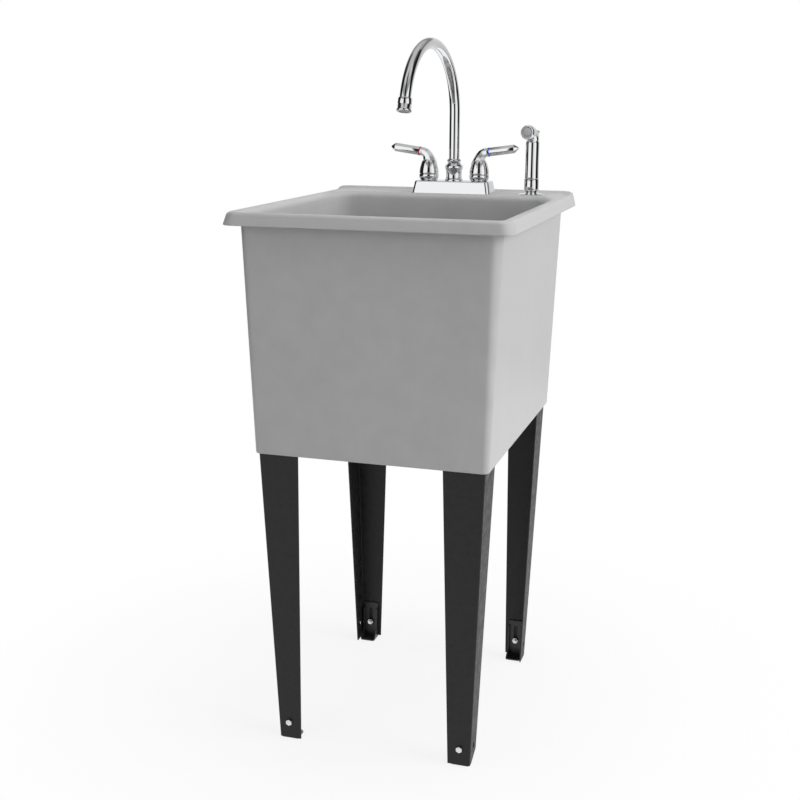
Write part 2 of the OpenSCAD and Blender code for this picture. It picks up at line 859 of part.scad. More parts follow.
module bonnet(side) {
  color(chrome_color)
    at_hub(side)
      translate([0, 0, plate_top])
        rotate_extrude()
          polygon([
            [barrel_r + fit_gap, 0],
            [hub_r - bonnet_foot_in, 0],
            [hub_r - bonnet_edge, bonnet_h * bonnet_shares[0]],
            [hub_r, bonnet_h * bonnet_shares[1]],
            [hub_r, bonnet_h * bonnet_shares[2]],
            [hub_r - bonnet_edge / 2, bonnet_h],
            [cartridge_r + 2 * fit_gap, bonnet_h],
            [cartridge_r + 2 * fit_gap, barrel_over + fit_gap],
            [barrel_r + fit_gap, barrel_over + fit_gap]
          ]);
}

// Radii and heights up the hub as shares of its largest radius and its height
hub_shares = [[0.97, 0], [0.98, 0.1], [0.94, 0.32], [0.86, 0.55], [0.78, 0.72], [0.66, 0.86], [0.44, 0.97], [0, 1]];

// Lever frame: the origin is at the ring's middle and local x points outward along the lever
module lever_frame() {
  translate([ring_reach, 0, plate_top + lever_rise])
    rotate([0, -lever_slope, 0])
      children();
}

module octagon(r, h) {
  rotate([0, 90, 0]) rotate([0, 0, 22.5]) cylinder(r = r, h = h, $fn = 8);
}

// A handle whose lever points to +X; the hot one is turned to point the other way
module handle_shape() {
  straight = lever_reach - ring_reach - tip_len;
  elbow = elbow_reach - ring_reach;
  difference() {
    union() {
      translate([0, 0, hub_z])
        rotate_extrude()
          polygon(concat([[0, 0]], [for (s = hub_shares) [s[0] * hub_r, s[1] * hub_h]]));
      hull() {
        translate([0, 0, hub_z + hub_h - neck_drop])
          cylinder(r = neck_r, h = bonnet_edge / 2, $fn = 32);
        lever_frame() translate([elbow, 0, 0]) octagon(lever_r, ring_w / 2 - elbow);
      }
      lever_frame()
        rotate([0, 90, 0])
          rotate([0, 0, 22.5]) {
            cylinder(r = lever_r, h = straight, $fn = 8);
            translate([0, 0, straight]) cylinder(r1 = lever_r, r2 = tip_r, h = tip_len, $fn = 8);
          }
    }
    lever_frame()
      difference() {
        octagon(lever_r + overrun, ring_w);
        translate([-overrun, 0, 0]) octagon(lever_r - groove, ring_w + 2 * overrun);
      }
    translate([0, 0, hub_z - overrun])
      cylinder(r = hub_cavity_r, h = hub_cavity_h + overrun);
    translate([0, 0, hub_z])
      cylinder(r = stem_r + fit_gap, h = stem_up + fit_gap);
    translate([0, 0, hub_z + screw_up])
      rotate([-90, 0, 0])
        cylinder(r = screw_r + fit_gap, h = hub_r + overrun, $fn = 32);
  }
}

module toward(side) {
  at_hub(side) mirror([side < 0 ? 1 : 0, 0, 0]) children();
}

module handle(side) {
  color(chrome_color) toward(side) handle_shape();
}

module index_ring(side, tint) {
  color(tint)
    toward(side)
      lever_frame()
        difference() {
          octagon(lever_r + ring_out, ring_w);
          translate([-overrun, 0, 0]) octagon(lever_r - groove, ring_w + 2 * overrun);
        }
}

module handle_screw(side) {
  start = stem_r + fit_gap;
  color(zinc_color)
    at_hub(side)
      translate([0, start, hub_z + screw_up])
        rotate([-90, 0, 0])
          cylinder(r = screw_r, h = hub_r * screw_share - start, $fn = 32);
}

module hot_cartridge() { cartridge(-1); }
module hot_stem() { stem(-1); }
module hot_bonnet() { bonnet(-1); }
module hot_handle() { handle(-1); }
module hot_index_ring() { index_ring(-1, hot_color); }
module hot_handle_screw() { handle_screw(-1); }
module cold_cartridge() { cartridge(1); }
module cold_stem() { stem(1); }
module cold_bonnet() { bonnet(1); }
module cold_handle() { handle(1); }
module cold_index_ring() { index_ring(1, cold_color); }
module cold_handle_screw() { handle_screw(1); }

// Spout and its seat in the body's post
nut_h_total = 30;
nut_shares = [0.62, 0.72, 0.86];
nut_base_r = 16;
nut_waist_r = 14;
nut_ring_r = 15.8;
nut_edge = 2;
tube_start = body_z + body_floor + seat_gap;
collar_gap = 0.3;
collar_h = 8;
collar_shares = [0.4, 0.6, 0.9];
collar_t = 2.2;
collar_lip = 1.2;
bushing_h = 10;
seal_h = 4;
arch_z = deck_z + arch_rise;
stub_l = 9;
tube_sides = 24;
arch_steps = 28;
aerator_wall = 1.6;
aerator_washer_t = 2;
insert_l = 8;
insert_hole_r = 1;
lip_l = 4;
lip_out = 1;
spout_top = plate_top + post_over;

module spout_nut() {
  color(chrome_color)
    at_faucet(0, plate_top)
      rotate_extrude()
        polygon([
          [post_r + fit_gap, 0],
          [nut_base_r, 0],
          [nut_base_r, nut_edge],
          [nut_waist_r, nut_edge * 2],
          [nut_waist_r, nut_h_total * nut_shares[0]],
          [nut_ring_r, nut_h_total * nut_shares[1]],
          [nut_ring_r, nut_h_total * nut_shares[2]],
          [nut_waist_r - nut_edge, nut_h_total],
          [tube_r + seat_gap, nut_h_total],
          [tube_r + seat_gap, post_over + seat_gap],
          [post_r + fit_gap, post_over + seat_gap]
        ]);
}

module spout_collar() {
  color(chrome_color)
    at_faucet(0, plate_top + nut_h_total + collar_gap)
      rotate_extrude()
        polygon([
          [tube_r + fit_gap, 0],
          [tube_r + collar_t, 0],
          [tube_r + collar_t, collar_h * collar_shares[0]],
          [tube_r + collar_t + collar_lip, collar_h * collar_shares[1]],
          [tube_r + collar_t, collar_h * collar_shares[2]],
          [tube_r + fit_gap, collar_h]
        ]);
}

module spout_bushing() {
  color(plastic_color)
    at_faucet(0, spout_top - bushing_h)
      difference() {
        cylinder(r = tube_r + fit_gap + bushing_t, h = bushing_h);
        translate([0, 0, -overrun])
          cylinder(r = tube_r + fit_gap, h = bushing_h + 2 * overrun);
      }
}

module spout_seal() {
  color(rubber_color)
    at_faucet(0, spout_top - bushing_h - seal_h)
      difference() {
        cylinder(r = tube_r + bushing_t, h = seal_h - fit_gap);
        translate([0, 0, -overrun])
          cylinder(r = tube_r + fit_gap, h = seal_h + 2 * overrun);
      }
}

// Spout frame: local x points the way the arch runs from the riser
module spout_frame() {
  at_faucet(0, 0) rotate([0, 0, -90 - arch_turn]) children();
}

// Frame at the arch's end: local z points on along the tube
module spout_end() {
  spout_frame()
    translate([arch_r * (1 - cos(arch_sweep)), 0, arch_z + arch_r * sin(arch_sweep)])
      rotate([0, arch_sweep, 0])
        children();
}

// One ring of the tube at a distance along the arch in degrees, then past its end by a length
function tube_ring(r, a, past) = [
  for (k = [0:tube_sides - 1])
    let (
      turn = 360 * k / tube_sides,
      out = arch_r - (arch_r + r * cos(turn)) * cos(a) + past * sin(a),
      up = (arch_r + r * cos(turn)) * sin(a) + past * cos(a)
    )
      [out, r * sin(turn), arch_z + up]
];
function tube_rings(r) = concat(
  [tube_ring(r, 0, tube_start - arch_z)],
  [for (k = [0:arch_steps]) tube_ring(r, arch_sweep * k / arch_steps, 0)],
  [tube_ring(r, arch_sweep, stub_l)]
);

// A closed skin through rings whose last ring joins the first
module wrap(rings) {
  n = len(rings[0]);
  m = len(rings);
  polyhedron(
    [for (r = rings) each r],
    [
      for (i = [0:m - 1])
        for (j = [0:n - 1])
          let (a = i * n + j, b = i * n + (j + 1) % n, c = (i + 1) % m * n + j, d = (i + 1) % m * n + (j + 1) % n)
            each [[a, b, c], [b, d, c]]
    ]
  );
}

module spout_tube() {
  inner = tube_rings(tube_r - tube_t);
  color(chrome_color)
    spout_frame()
      wrap(concat(tube_rings(tube_r), [for (k = [len(inner) - 1:-1:0]) inner[k]]));
}

module aerator_washer() {
  color(rubber_color)
    spout_end()
      translate([0, 0, stub_l])
        difference() {
          cylinder(r = aerator_r - aerator_wall - fit_gap, h = aerator_washer_t);
          translate([0, 0, -overrun])
            cylinder(r = tube_r - tube_t - fit_gap, h = aerator_washer_t + 2 * overrun);
        }
}

module aerator_insert() {
  r = aerator_r - aerator_wall - fit_gap;
  color(plastic_color)
    spout_end()
      translate([0, 0, stub_l + aerator_washer_t])
        difference() {
          cylinder(r = r, h = insert_l);
          for (a = [0:60:300])
            rotate([0, 0, a])
              translate([r / 2, 0, -overrun])
                cylinder(r = insert_hole_r, h = insert_l + 2 * overrun, $fn = 16);
        }
}

module aerator_housing() {
  inner = aerator_r - aerator_wall;
  insert_end = stub_l + aerator_washer_t + insert_l;
  color(chrome_color)
    spout_end()
      rotate_extrude()
        polygon([
          [tube_r + fit_gap, 0],
          [aerator_r - nut_edge / 2, 0],
          [aerator_r, nut_edge / 2],
          [aerator_r, aerator_l - lip_l],
          [aerator_r + lip_out, aerator_l - lip_l + lip_out],
          [aerator_r + lip_out, aerator_l - lip_out],
          [aerator_r, aerator_l],
          [inner - nut_edge, aerator_l],
          [inner - nut_edge, insert_end],
          [inner, insert_end],
          [inner, stub_l],
          [tube_r + fit_gap, stub_l]
        ]);
}

// Side sprayer
holder_flange_h = 2.6;
holder_edge = 1;
holder_shank_r = 11.5;
holder_bore = 8;
holder_drop = 38;
cup_wall = 1.2;
cup_floor_rise = 7;
cup_low_rise = 4.2;
cup_full_rise = 9.1;
cup_neck_r = 9.6;
cup_neck_rise = 3;
holder_washer_t = 2;
holder_nut_r = 16.5;
holder_nut_h = 8;
plug_gap = 0.48;
plug_r = cup_r - cup_wall - plug_gap;
grip_r = 12.1;
grip_waist = 0.7;
grip_band = 3.6;
grip_top = 91;
inlet_r = 6.6;
inlet_drop = 60;
inlet_thread = 11.7;
inlet_tail = 5;
inlet_up = 10;
passage_r = 3.2;
head_passage_r = 4.6;
face_r = 9.6;
jet_r = 0.6;
face_t = 3;
head_back_r = 11.4;
ear_w = 2.4;
ear_gap = 0.3;
knuckle_w = 9;
knuckle_r = 3.4;
pin_r = 1.2;
pin_back = 14.2;
trigger_len = 36;
trigger_t = 2.4;
trigger_lean = 9;
head_z = deck_z + head_rise;
cup_floor_z = deck_z + cup_floor_rise;

module at_sprayer(z) {
  at_faucet(sprayer_x, z) children();
}

module sprayer_holder() {
  color(chrome_color)
    at_sprayer(deck_z)
      rotate_extrude()
        polygon([
          [holder_bore, -holder_drop],
          [holder_shank_r, -holder_drop],
          [holder_shank_r, 0],
          [holder_flange_r, 0],
          [holder_flange_r - holder_edge, holder_flange_h / 2],
          [cup_neck_r + holder_flange_h, holder_flange_h],
          [cup_neck_r, cup_neck_rise],
          [cup_neck_r + cup_wall, cup_low_rise],
          [cup_r, cup_full_rise],
          [cup_r, cup_h],
          [cup_r - cup_wall, cup_h],
          [cup_r - cup_wall, cup_floor_rise],
          [holder_bore, cup_floor_rise]
        ]);
}

module sprayer_washer() {
  color(rubber_color)
    at_sprayer(deck_under - holder_washer_t)
      difference() {
        cylinder(r = holder_nut_r, h = holder_washer_t);
        translate([0, 0, -overrun])
          cylinder(r = holder_shank_r + fit_gap, h = holder_washer_t + 2 * overrun);
      }
}

module sprayer_nut() {
  color(plastic_color)
    at_sprayer(deck_under - holder_washer_t - holder_nut_h)
      difference() {
        cylinder(r = holder_nut_r, h = holder_nut_h, $fn = 6);
        translate([0, 0, -overrun])
          cylinder(r = holder_shank_r + fit_gap, h = holder_nut_h + 2 * overrun);
      }
}

// Head frame: the origin is the head's centre and local z points out through the spray face
module head_frame() {
  at_sprayer(head_z) rotate([0, 0, -head_turn]) rotate([90, 0, 0]) children();
}

// Upright frame at the trigger's pin, turned with the head
module trigger_frame() {
  at_sprayer(head_z) rotate([0, 0, -head_turn]) translate([0, pin_back, 0]) children();
}

module sprayer_body() {
  low = cup_floor_z + seat_gap;
  top = deck_z + grip_top;
  cup_top = deck_z + cup_h;
  color(chrome_color)
    difference() {
      union() {
        at_sprayer(0)
          rotate_extrude()
            polygon([
              [0, low],
              [plug_r, low],
              [plug_r, cup_top + seat_gap],
              [grip_r, cup_top + seat_gap],
              [grip_r, cup_top + grip_band],
              [grip_r - grip_waist, (cup_top + top) / 2],
              [grip_r - grip_waist / 2, top - cup_wall],
              [grip_r - grip_waist, top],
              [0, top]
            ]);
        hull() {
          at_sprayer(top - 2 * cup_wall) cylinder(r = grip_r - grip_waist, h = cup_wall, $fn = 32);
          at_sprayer(head_z) sphere(r = head_back_r, $fn = 32);
        }
        head_frame() cylinder(r = head_back_r, h = head_reach - 2 * face_t);
        head_frame() translate([0, 0, head_reach - 2 * face_t]) cylinder(r = head_r, h = 2 * face_t);
        for (side = [-1, 1])
          trigger_frame()
            translate([side * (knuckle_w / 2 + ear_gap + ear_w / 2) - ear_w / 2, -pin_back / 2, -knuckle_r])
              cube([ear_w, pin_back / 2 + knuckle_r, 2 * knuckle_r]);
      }
      head_frame() translate([0, 0, head_reach - face_t]) cylinder(r = face_r, h = face_t + overrun);
      head_frame() translate([0, 0, -head_passage_r]) cylinder(r = head_passage_r, h = head_reach);
      at_sprayer(low - overrun) cylinder(r = inlet_tail + fit_gap, h = inlet_up + overrun);
      at_sprayer(low) cylinder(r = passage_r, h = head_z - low);
      trigger_frame()
        translate([-knuckle_w / 2 - ear_gap, -knuckle_r - ear_gap, -knuckle_r - 2 * ear_gap])
          cube([knuckle_w + 2 * ear_gap, 3 * knuckle_r, 2 * knuckle_r + 4 * ear_gap]);
      trigger_frame()
        translate([-knuckle_w, 0, 0]) rotate([0, 90, 0]) cylinder(r = pin_r + fit_gap, h = 2 * knuckle_w);
    }
}

module sprayer_face() {
  color(face_color)
    head_frame()
      translate([0, 0, head_reach - face_t])
        difference() {
          cylinder(r = face_r - fit_gap, h = face_t - ear_gap);
          for (a = [0:45:315])
            rotate([0, 0, a])
              translate([face_r / 2, 0, -overrun])
                cylinder(r = jet_r, h = face_t + 2 * overrun, $fn = 16);
        }
}

module sprayer_trigger() {
  color(chrome_color)
    trigger_frame()
      difference() {
        union() {
          translate([-knuckle_w / 2, 0, 0])
            rotate([0, 90, 0]) cylinder(r = knuckle_r - ear_gap, h = knuckle_w);
          rotate([trigger_lean, 0, 0])
            translate([-knuckle_w / 2, knuckle_r - ear_gap - trigger_t, -trigger_len])
              cube([knuckle_w, trigger_t, trigger_len]);
        }
        translate([-knuckle_w, 0, 0]) rotate([0, 90, 0]) cylinder(r = pin_r + fit_gap, h = 2 * knuckle_w);
      }
}

module trigger_pin() {
  half = knuckle_w / 2 + ear_gap + ear_w;
  color(zinc_color)
    trigger_frame()
      translate([-half, 0, 0])
        rotate([0, 90, 0]) cylinder(r = pin_r, h = 2 * half, $fn = 32);
}

module sprayer_inlet() {
  low = cup_floor_z + seat_gap;
  color(brass_color)
    difference() {
      union() {
        at_sprayer(low - inlet_drop) cylinder(r = inlet_r, h = inlet_drop);
        at_sprayer(low - inlet_tail) cylinder(r = inlet_tail, h = inlet_tail + inlet_up - fit_gap);
      }
      at_sprayer(low - inlet_drop + inlet_thread) relief_groove(inlet_r);
    }
}

tub();
leg_front_left();
leg_front_right();
leg_rear_left();
leg_rear_right();
foot_front_left();
foot_front_right();
foot_rear_left();
foot_rear_right();
foot_bolts();
foot_nuts();
drain_strainer();
drain_gasket();
drain_locknut();
drain_tailpiece();
drain_slip_nut();
faucet_plate();
faucet_gasket();
faucet_body();
shank_washers();
shank_nuts();
hot_cartridge();
hot_stem();
hot_bonnet();
hot_handle();
hot_index_ring();
hot_handle_screw();
cold_cartridge();
cold_stem();
cold_bonnet();
cold_handle();
cold_index_ring();
cold_handle_screw();
spout_nut();
spout_collar();
spout_bushing();
spout_seal();
spout_tube();
aerator_washer();
aerator_insert();
aerator_housing();
sprayer_holder();
sprayer_washer();
sprayer_nut();
sprayer_body();
sprayer_face();
sprayer_trigger();
trigger_pin();
sprayer_inlet();
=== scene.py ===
# %% [markdown]
# # A utility laundry sink
# A deep moulded tub stands on four tapered sheet-steel legs, with a chrome faucet and a side sprayer on its deck.
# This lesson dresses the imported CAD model, which is loaded as a fixed frame in metres. Pieces that show curved or
# softened shapes are modelled here again over their CAD nodes. Hidden pieces keep their CAD shape and get a finish.

# %% Load the frame
import json
import math

import bmesh
import bpy
from mathutils import Matrix, Vector


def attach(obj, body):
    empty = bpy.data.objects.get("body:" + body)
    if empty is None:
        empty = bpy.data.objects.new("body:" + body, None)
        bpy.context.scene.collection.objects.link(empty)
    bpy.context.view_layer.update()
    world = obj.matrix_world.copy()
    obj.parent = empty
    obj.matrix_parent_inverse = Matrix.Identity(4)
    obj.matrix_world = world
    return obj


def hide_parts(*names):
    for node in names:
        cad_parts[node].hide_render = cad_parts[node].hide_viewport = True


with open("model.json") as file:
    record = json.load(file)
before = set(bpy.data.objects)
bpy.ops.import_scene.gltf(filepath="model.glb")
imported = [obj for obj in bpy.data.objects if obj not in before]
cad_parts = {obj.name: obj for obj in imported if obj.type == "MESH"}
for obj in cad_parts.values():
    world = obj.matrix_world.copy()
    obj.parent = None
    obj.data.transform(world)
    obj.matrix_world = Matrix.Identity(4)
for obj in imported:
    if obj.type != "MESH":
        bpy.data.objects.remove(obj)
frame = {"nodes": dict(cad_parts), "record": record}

scene = bpy.context.scene
record = frame["record"]
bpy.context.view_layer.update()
body_of_node = {node: body for body, nodes in record["behaviour"]["bodies"].items() for node in nodes}
slot_of_node = {part["node"]: part["material_slot"] for part in record["subparts"]}

# %% [markdown]
# ## Camera
# The photograph looks down on the sink from the front right. A camera that stands on a sphere round a target is easy
# to reason about: an azimuth, a pitch, a small roll and a distance place it, and the lens sets how large things look.

# %% Camera
LENS = 55.79
CAMERA_TARGET = Vector((-0.022443, 0, 0.544368))
CAMERA_DISTANCE = 2.118206
AZIMUTH, PITCH, ROLL = (math.radians(v) for v in (17.181, 13.872, 0.226))

back = Vector((math.sin(AZIMUTH) * math.cos(PITCH), -math.cos(AZIMUTH) * math.cos(PITCH), math.sin(PITCH)))
right = Vector((math.cos(AZIMUTH), math.sin(AZIMUTH), 0))
up = back.cross(right)
tilt = Matrix.Rotation(ROLL, 3, back)
camera = bpy.data.objects.new("studio_camera", bpy.data.cameras.new("studio_camera"))
camera.data.lens = LENS
camera.data.sensor_width = 36
turn = Matrix((tilt @ right, tilt @ up, back)).transposed().to_4x4()
camera.matrix_world = Matrix.Translation(CAMERA_TARGET + back * CAMERA_DISTANCE) @ turn
scene.collection.objects.link(camera)
scene.camera = camera
scene.view_settings.view_transform = "Standard"
print("camera at", [round(v, 3) for v in camera.matrix_world.translation])

# %% [markdown]
# ## Studio light
# A product photograph has big soft lights, so that a matt surface shades gently from side to side. One wide lamp hangs
# over the sink. One stands at its right, which is why the right wall is paler than the front, and a weak one lifts the
# front from the left. None of them shows in a mirror. The world fills the rest at a plain level, and is pure white
# where the camera looks past the sink.

# %% World and lamps
FILL = 0.345
LAMPS = {
    "overhead": ((0.2, -0.1, 3.4), (0, 0, 0.7), 2.6, 48),
    "right_side": ((3.3, -0.2, 1.9), (0, 0, 0.6), 2.2, 99),
    "front_left": ((-1.8, -3.2, 2.6), (0, 0, 0.6), 2.0, 14),
}


def add_node(tree, kind, operation):
    node = tree.nodes.new(kind)
    node.operation = operation
    return node


def wire(tree, *pairs):
    for output, socket in pairs:
        tree.links.new(output, socket)


def seen_directly(tree):
    """A socket that is 1 for what the camera, a mirror or glass looks at, and 0 for light that bounces softly."""
    ray = tree.nodes.new("ShaderNodeLightPath")
    found = ray.outputs["Is Camera Ray"]
    for kind in ("Is Glossy Ray", "Is Transmission Ray"):
        either = add_node(tree, "ShaderNodeMath", "MAXIMUM")
        wire(tree, (found, either.inputs[0]), (ray.outputs[kind], either.inputs[1]))
        found = either.outputs[0]
    return found


world = bpy.data.worlds.new("studio_world")
world.use_nodes = True
scene.world = world
tree = world.node_tree
sky, level = tree.nodes["Background"], tree.nodes.new("ShaderNodeMapRange")
sky.inputs["Color"].default_value = (1, 1, 1, 1)
level.inputs["To Min"].default_value, level.inputs["To Max"].default_value = FILL, 1
wire(tree, (seen_directly(tree), level.inputs["Value"]), (level.outputs["Result"], sky.inputs["Strength"]))

for name, (place, target, size, power) in LAMPS.items():
    lamp = bpy.data.objects.new(name, bpy.data.lights.new(name, "AREA"))
    lamp.data.size, lamp.data.energy = size, power
    lamp.location = place
    lamp.visible_glossy = False
    lamp.rotation_euler = (Vector(place) - Vector(target)).to_track_quat("Z", "Y").to_euler()
    scene.collection.objects.link(lamp)
print("lamps:", ", ".join(LAMPS))

# %% [markdown]
# ## Floor and reflection tent
# The floor is a pale disc that keeps the sink's soft shadow and fades to white, so no horizon shows. Chrome is only as
# good as what it reflects: in a white room it would vanish. Photographers close the set in a tent of white cloth with
# dark cards and grey panels, and the bands on the faucet are those. Here the tent is a ball that only mirror-like rays
# see. Its light is drawn from two angles of each of its points: the turn round the sink and the angle down from its
# top. Each list holds degrees and a brightness, and the third says how far up and down the upright bands reach.

# %% Floor and reflection tent
FLOOR_RADIUS, FLOOR_SEGMENTS = 9, 64
FLOOR_TONE, FLOOR_ROUGHNESS, FLOOR_SHINE = 0.82, 0.9, 0.1
FLOOR_FADE = {"From Min": 0.3, "From Max": 0.85, "To Min": 0.84, "To Max": 1}
TENT_RADIUS, TENT_COLUMNS, TENT_ROWS = 2.6, 48, 24
TENT_CENTRE = Vector((0, 0, 0.95))
TURN_BANDS = (
    (0, 0.8), (34, 0.5), (40, 0.015), (100, 0.015), (104, 1), (155, 1), (159, 0.015), (188, 0.015), (191, 0.66),
    (206, 0.75), (216, 1), (244, 1), (248, 0.015), (292, 0.015), (297, 0.5), (316, 0.62), (338, 0.75), (360, 0.8),
)
HEIGHT_BANDS = (
    (0, 0.52), (24, 0.6), (42, 0.62), (49, 0.36), (58, 0.36), (64, 1), (98, 1), (110, 0.9), (128, 0.66), (150, 0.75),
    (180, 0.8),
)
BAND_REACH = ((0, 0), (20, 0.15), (34, 0.9), (60, 1), (92, 1), (120, 1), (136, 0.8), (160, 0.2), (180, 0))


def stage_piece(name, bm, material):
    mesh = bpy.data.meshes.new(name)
    bm.to_mesh(mesh)
    bm.free()
    piece = bpy.data.objects.new(name, mesh)
    piece.data.materials.append(material)
    scene.collection.objects.link(piece)
    return piece


paper = bpy.data.materials.new("studio_paper")
paper.use_nodes = True
tree = paper.node_tree
paper_shader = tree.nodes["Principled BSDF"]
paper_shader.inputs["Base Color"].default_value = (FLOOR_TONE, FLOOR_TONE, FLOOR_TONE, 1)
paper_shader.inputs["Roughness"].default_value = FLOOR_ROUGHNESS
paper_shader.inputs["Specular IOR Level"].default_value = FLOOR_SHINE
glow, clear = tree.nodes.new("ShaderNodeEmission"), tree.nodes.new("ShaderNodeBsdfTransparent")
spot, side = tree.nodes.new("ShaderNodeTexCoord"), tree.nodes.new("ShaderNodeNewGeometry")
fade = tree.nodes.new("ShaderNodeMapRange")
blend, below = (tree.nodes.new("ShaderNodeMixShader") for _ in range(2))
away, share = add_node(tree, "ShaderNodeVectorMath", "LENGTH"), add_node(tree, "ShaderNodeMath", "MULTIPLY")
for socket, value in FLOOR_FADE.items():
    fade.inputs[socket].default_value = value
wire(
    tree, (spot.outputs["Object"], away.inputs[0]), (away.outputs["Value"], fade.inputs["Value"]),
    (seen_directly(tree), share.inputs[0]), (fade.outputs["Result"], share.inputs[1]),
    (share.outputs[0], blend.inputs["Fac"]), (paper_shader.outputs[0], blend.inputs[1]),
    (glow.outputs[0], blend.inputs[2]), (side.outputs["Backfacing"], below.inputs["Fac"]),
    (blend.outputs[0], below.inputs[1]), (clear.outputs[0], below.inputs[2]),
    (below.outputs[0], tree.nodes["Material Output"].inputs["Surface"]),
)

bm = bmesh.new()
bmesh.ops.create_circle(bm, cap_ends=True, radius=FLOOR_RADIUS, segments=FLOOR_SEGMENTS)
stage_piece("floor", bm, paper)

tent_cloth = bpy.data.materials.new("tent_cloth")
tent_cloth.use_nodes = True
tree = tent_cloth.node_tree
tree.nodes.remove(tree.nodes["Principled BSDF"])
place, apart = tree.nodes.new("ShaderNodeTexCoord"), tree.nodes.new("ShaderNodeSeparateXYZ")
unit = add_node(tree, "ShaderNodeVectorMath", "NORMALIZE")
flip, turn_angle, top_angle, product = (
    add_node(tree, "ShaderNodeMath", kind) for kind in ("MULTIPLY", "ARCTAN2", "ARCCOSINE", "MULTIPLY")
)
flip.inputs[1].default_value = -1
wire(
    tree, (place.outputs["Object"], unit.inputs[0]), (unit.outputs["Vector"], apart.inputs["Vector"]),
    (apart.outputs["X"], turn_angle.inputs[0]), (apart.outputs["Y"], flip.inputs[0]),
    (flip.outputs[0], turn_angle.inputs[1]), (apart.outputs["Z"], top_angle.inputs[0]),
)


def band_curve(angle, low, bands, full):
    """Reads a brightness along an angle, from points in degrees out of a full range."""
    scale, bars = tree.nodes.new("ShaderNodeMapRange"), tree.nodes.new("ShaderNodeFloatCurve")
    scale.inputs["From Min"].default_value, scale.inputs["From Max"].default_value = low, math.pi
    wire(tree, (angle.outputs[0], scale.inputs["Value"]), (scale.outputs["Result"], bars.inputs["Value"]))
    curve = bars.mapping.curves[0]
    for k, (at, light) in enumerate(bands):
        if k < 2:
            curve.points[k].location = (at / full, light)
        else:
            curve.points.new(at / full, light)
    for point in curve.points:
        point.handle_type = "VECTOR"
    bars.mapping.update()
    return bars.outputs["Value"]


banded, cloth = tree.nodes.new("ShaderNodeMix"), tree.nodes.new("ShaderNodeEmission")
banded.inputs["A"].default_value = 1
wire(
    tree, (band_curve(turn_angle, -math.pi, TURN_BANDS, 360), banded.inputs["B"]),
    (band_curve(top_angle, 0, HEIGHT_BANDS, 180), product.inputs[1]),
    (band_curve(top_angle, 0, BAND_REACH, 180), banded.inputs["Factor"]),
    (banded.outputs["Result"], product.inputs[0]), (product.outputs[0], cloth.inputs["Strength"]),
    (cloth.outputs[0], tree.nodes["Material Output"].inputs["Surface"]),
)

bm = bmesh.new()
bmesh.ops.create_uvsphere(bm, u_segments=TENT_COLUMNS, v_segments=TENT_ROWS, radius=TENT_RADIUS)
tent = stage_piece("reflection_tent", bm, tent_cloth)
tent.location = TENT_CENTRE
tent.rotation_euler = (0, 0, AZIMUTH)
tent.visible_camera = tent.visible_diffuse = tent.visible_shadow = False
tent.visible_transmission = tent.visible_volume_scatter = False
print("floor and tent with", len(TURN_BANDS), "bands round it")

# %% [markdown]
# ## Shared effects
# Each effect is one node group, built once and given its own values by every finish that uses it. Moulded skin is the
# faint orange peel and cloudy tone of plastic, paint and castings. Machined lines are the fine marks that a lathe or a
# brush leaves. Handling is the soft blotchy film that turns chrome slightly dull here and there.

# %% Effect groups


def effect_group(name, inputs, outputs):
    group = bpy.data.node_groups.new(name, "ShaderNodeTree")
    group.interface.new_socket(name="Vector", in_out="INPUT", socket_type="NodeSocketVector")
    for socket, value in inputs.items():
        made = group.interface.new_socket(name=socket, in_out="INPUT", socket_type="NodeSocketFloat")
        made.default_value = value
    for socket in outputs:
        group.interface.new_socket(name=socket, in_out="OUTPUT", socket_type="NodeSocketFloat")
    return group, group.nodes.new("NodeGroupInput"), group.nodes.new("NodeGroupOutput")


def noise_in(group, detail, roughness):
    noise = group.nodes.new("ShaderNodeTexNoise")
    noise.inputs["Detail"].default_value = detail
    noise.inputs["Roughness"].default_value = roughness
    return noise


moulded_skin, source, sink = effect_group("moulded_skin", {"Grain Scale": 900, "Cloud Scale": 9}, ("Height", "Cloud"))
grain, cloud = noise_in(moulded_skin, 2, 0.55), noise_in(moulded_skin, 4, 0.6)
for noise, scale, output in ((grain, "Grain Scale", "Height"), (cloud, "Cloud Scale", "Cloud")):
    moulded_skin.links.new(source.outputs["Vector"], noise.inputs["Vector"])
    moulded_skin.links.new(source.outputs[scale], noise.inputs["Scale"])
    moulded_skin.links.new(noise.outputs["Fac"], sink.inputs[output])

machined_lines, source, sink = effect_group("machined_lines", {"Along": 60, "Across": 2600}, ("Height", "Streak"))
stretch = machined_lines.nodes.new("ShaderNodeCombineXYZ")
scaled = machined_lines.nodes.new("ShaderNodeVectorMath")
scaled.operation = "MULTIPLY"
lines, streak = noise_in(machined_lines, 3, 0.7), noise_in(machined_lines, 2, 0.5)
lines.inputs["Scale"].default_value = 1
streak.inputs["Scale"].default_value = 0.12
for axis, socket in (("X", "Along"), ("Y", "Along"), ("Z", "Across")):
    machined_lines.links.new(source.outputs[socket], stretch.inputs[axis])
machined_lines.links.new(source.outputs["Vector"], scaled.inputs[0])
machined_lines.links.new(stretch.outputs[0], scaled.inputs[1])
for noise, output in ((lines, "Height"), (streak, "Streak")):
    machined_lines.links.new(scaled.outputs[0], noise.inputs["Vector"])
    machined_lines.links.new(noise.outputs["Fac"], sink.inputs[output])

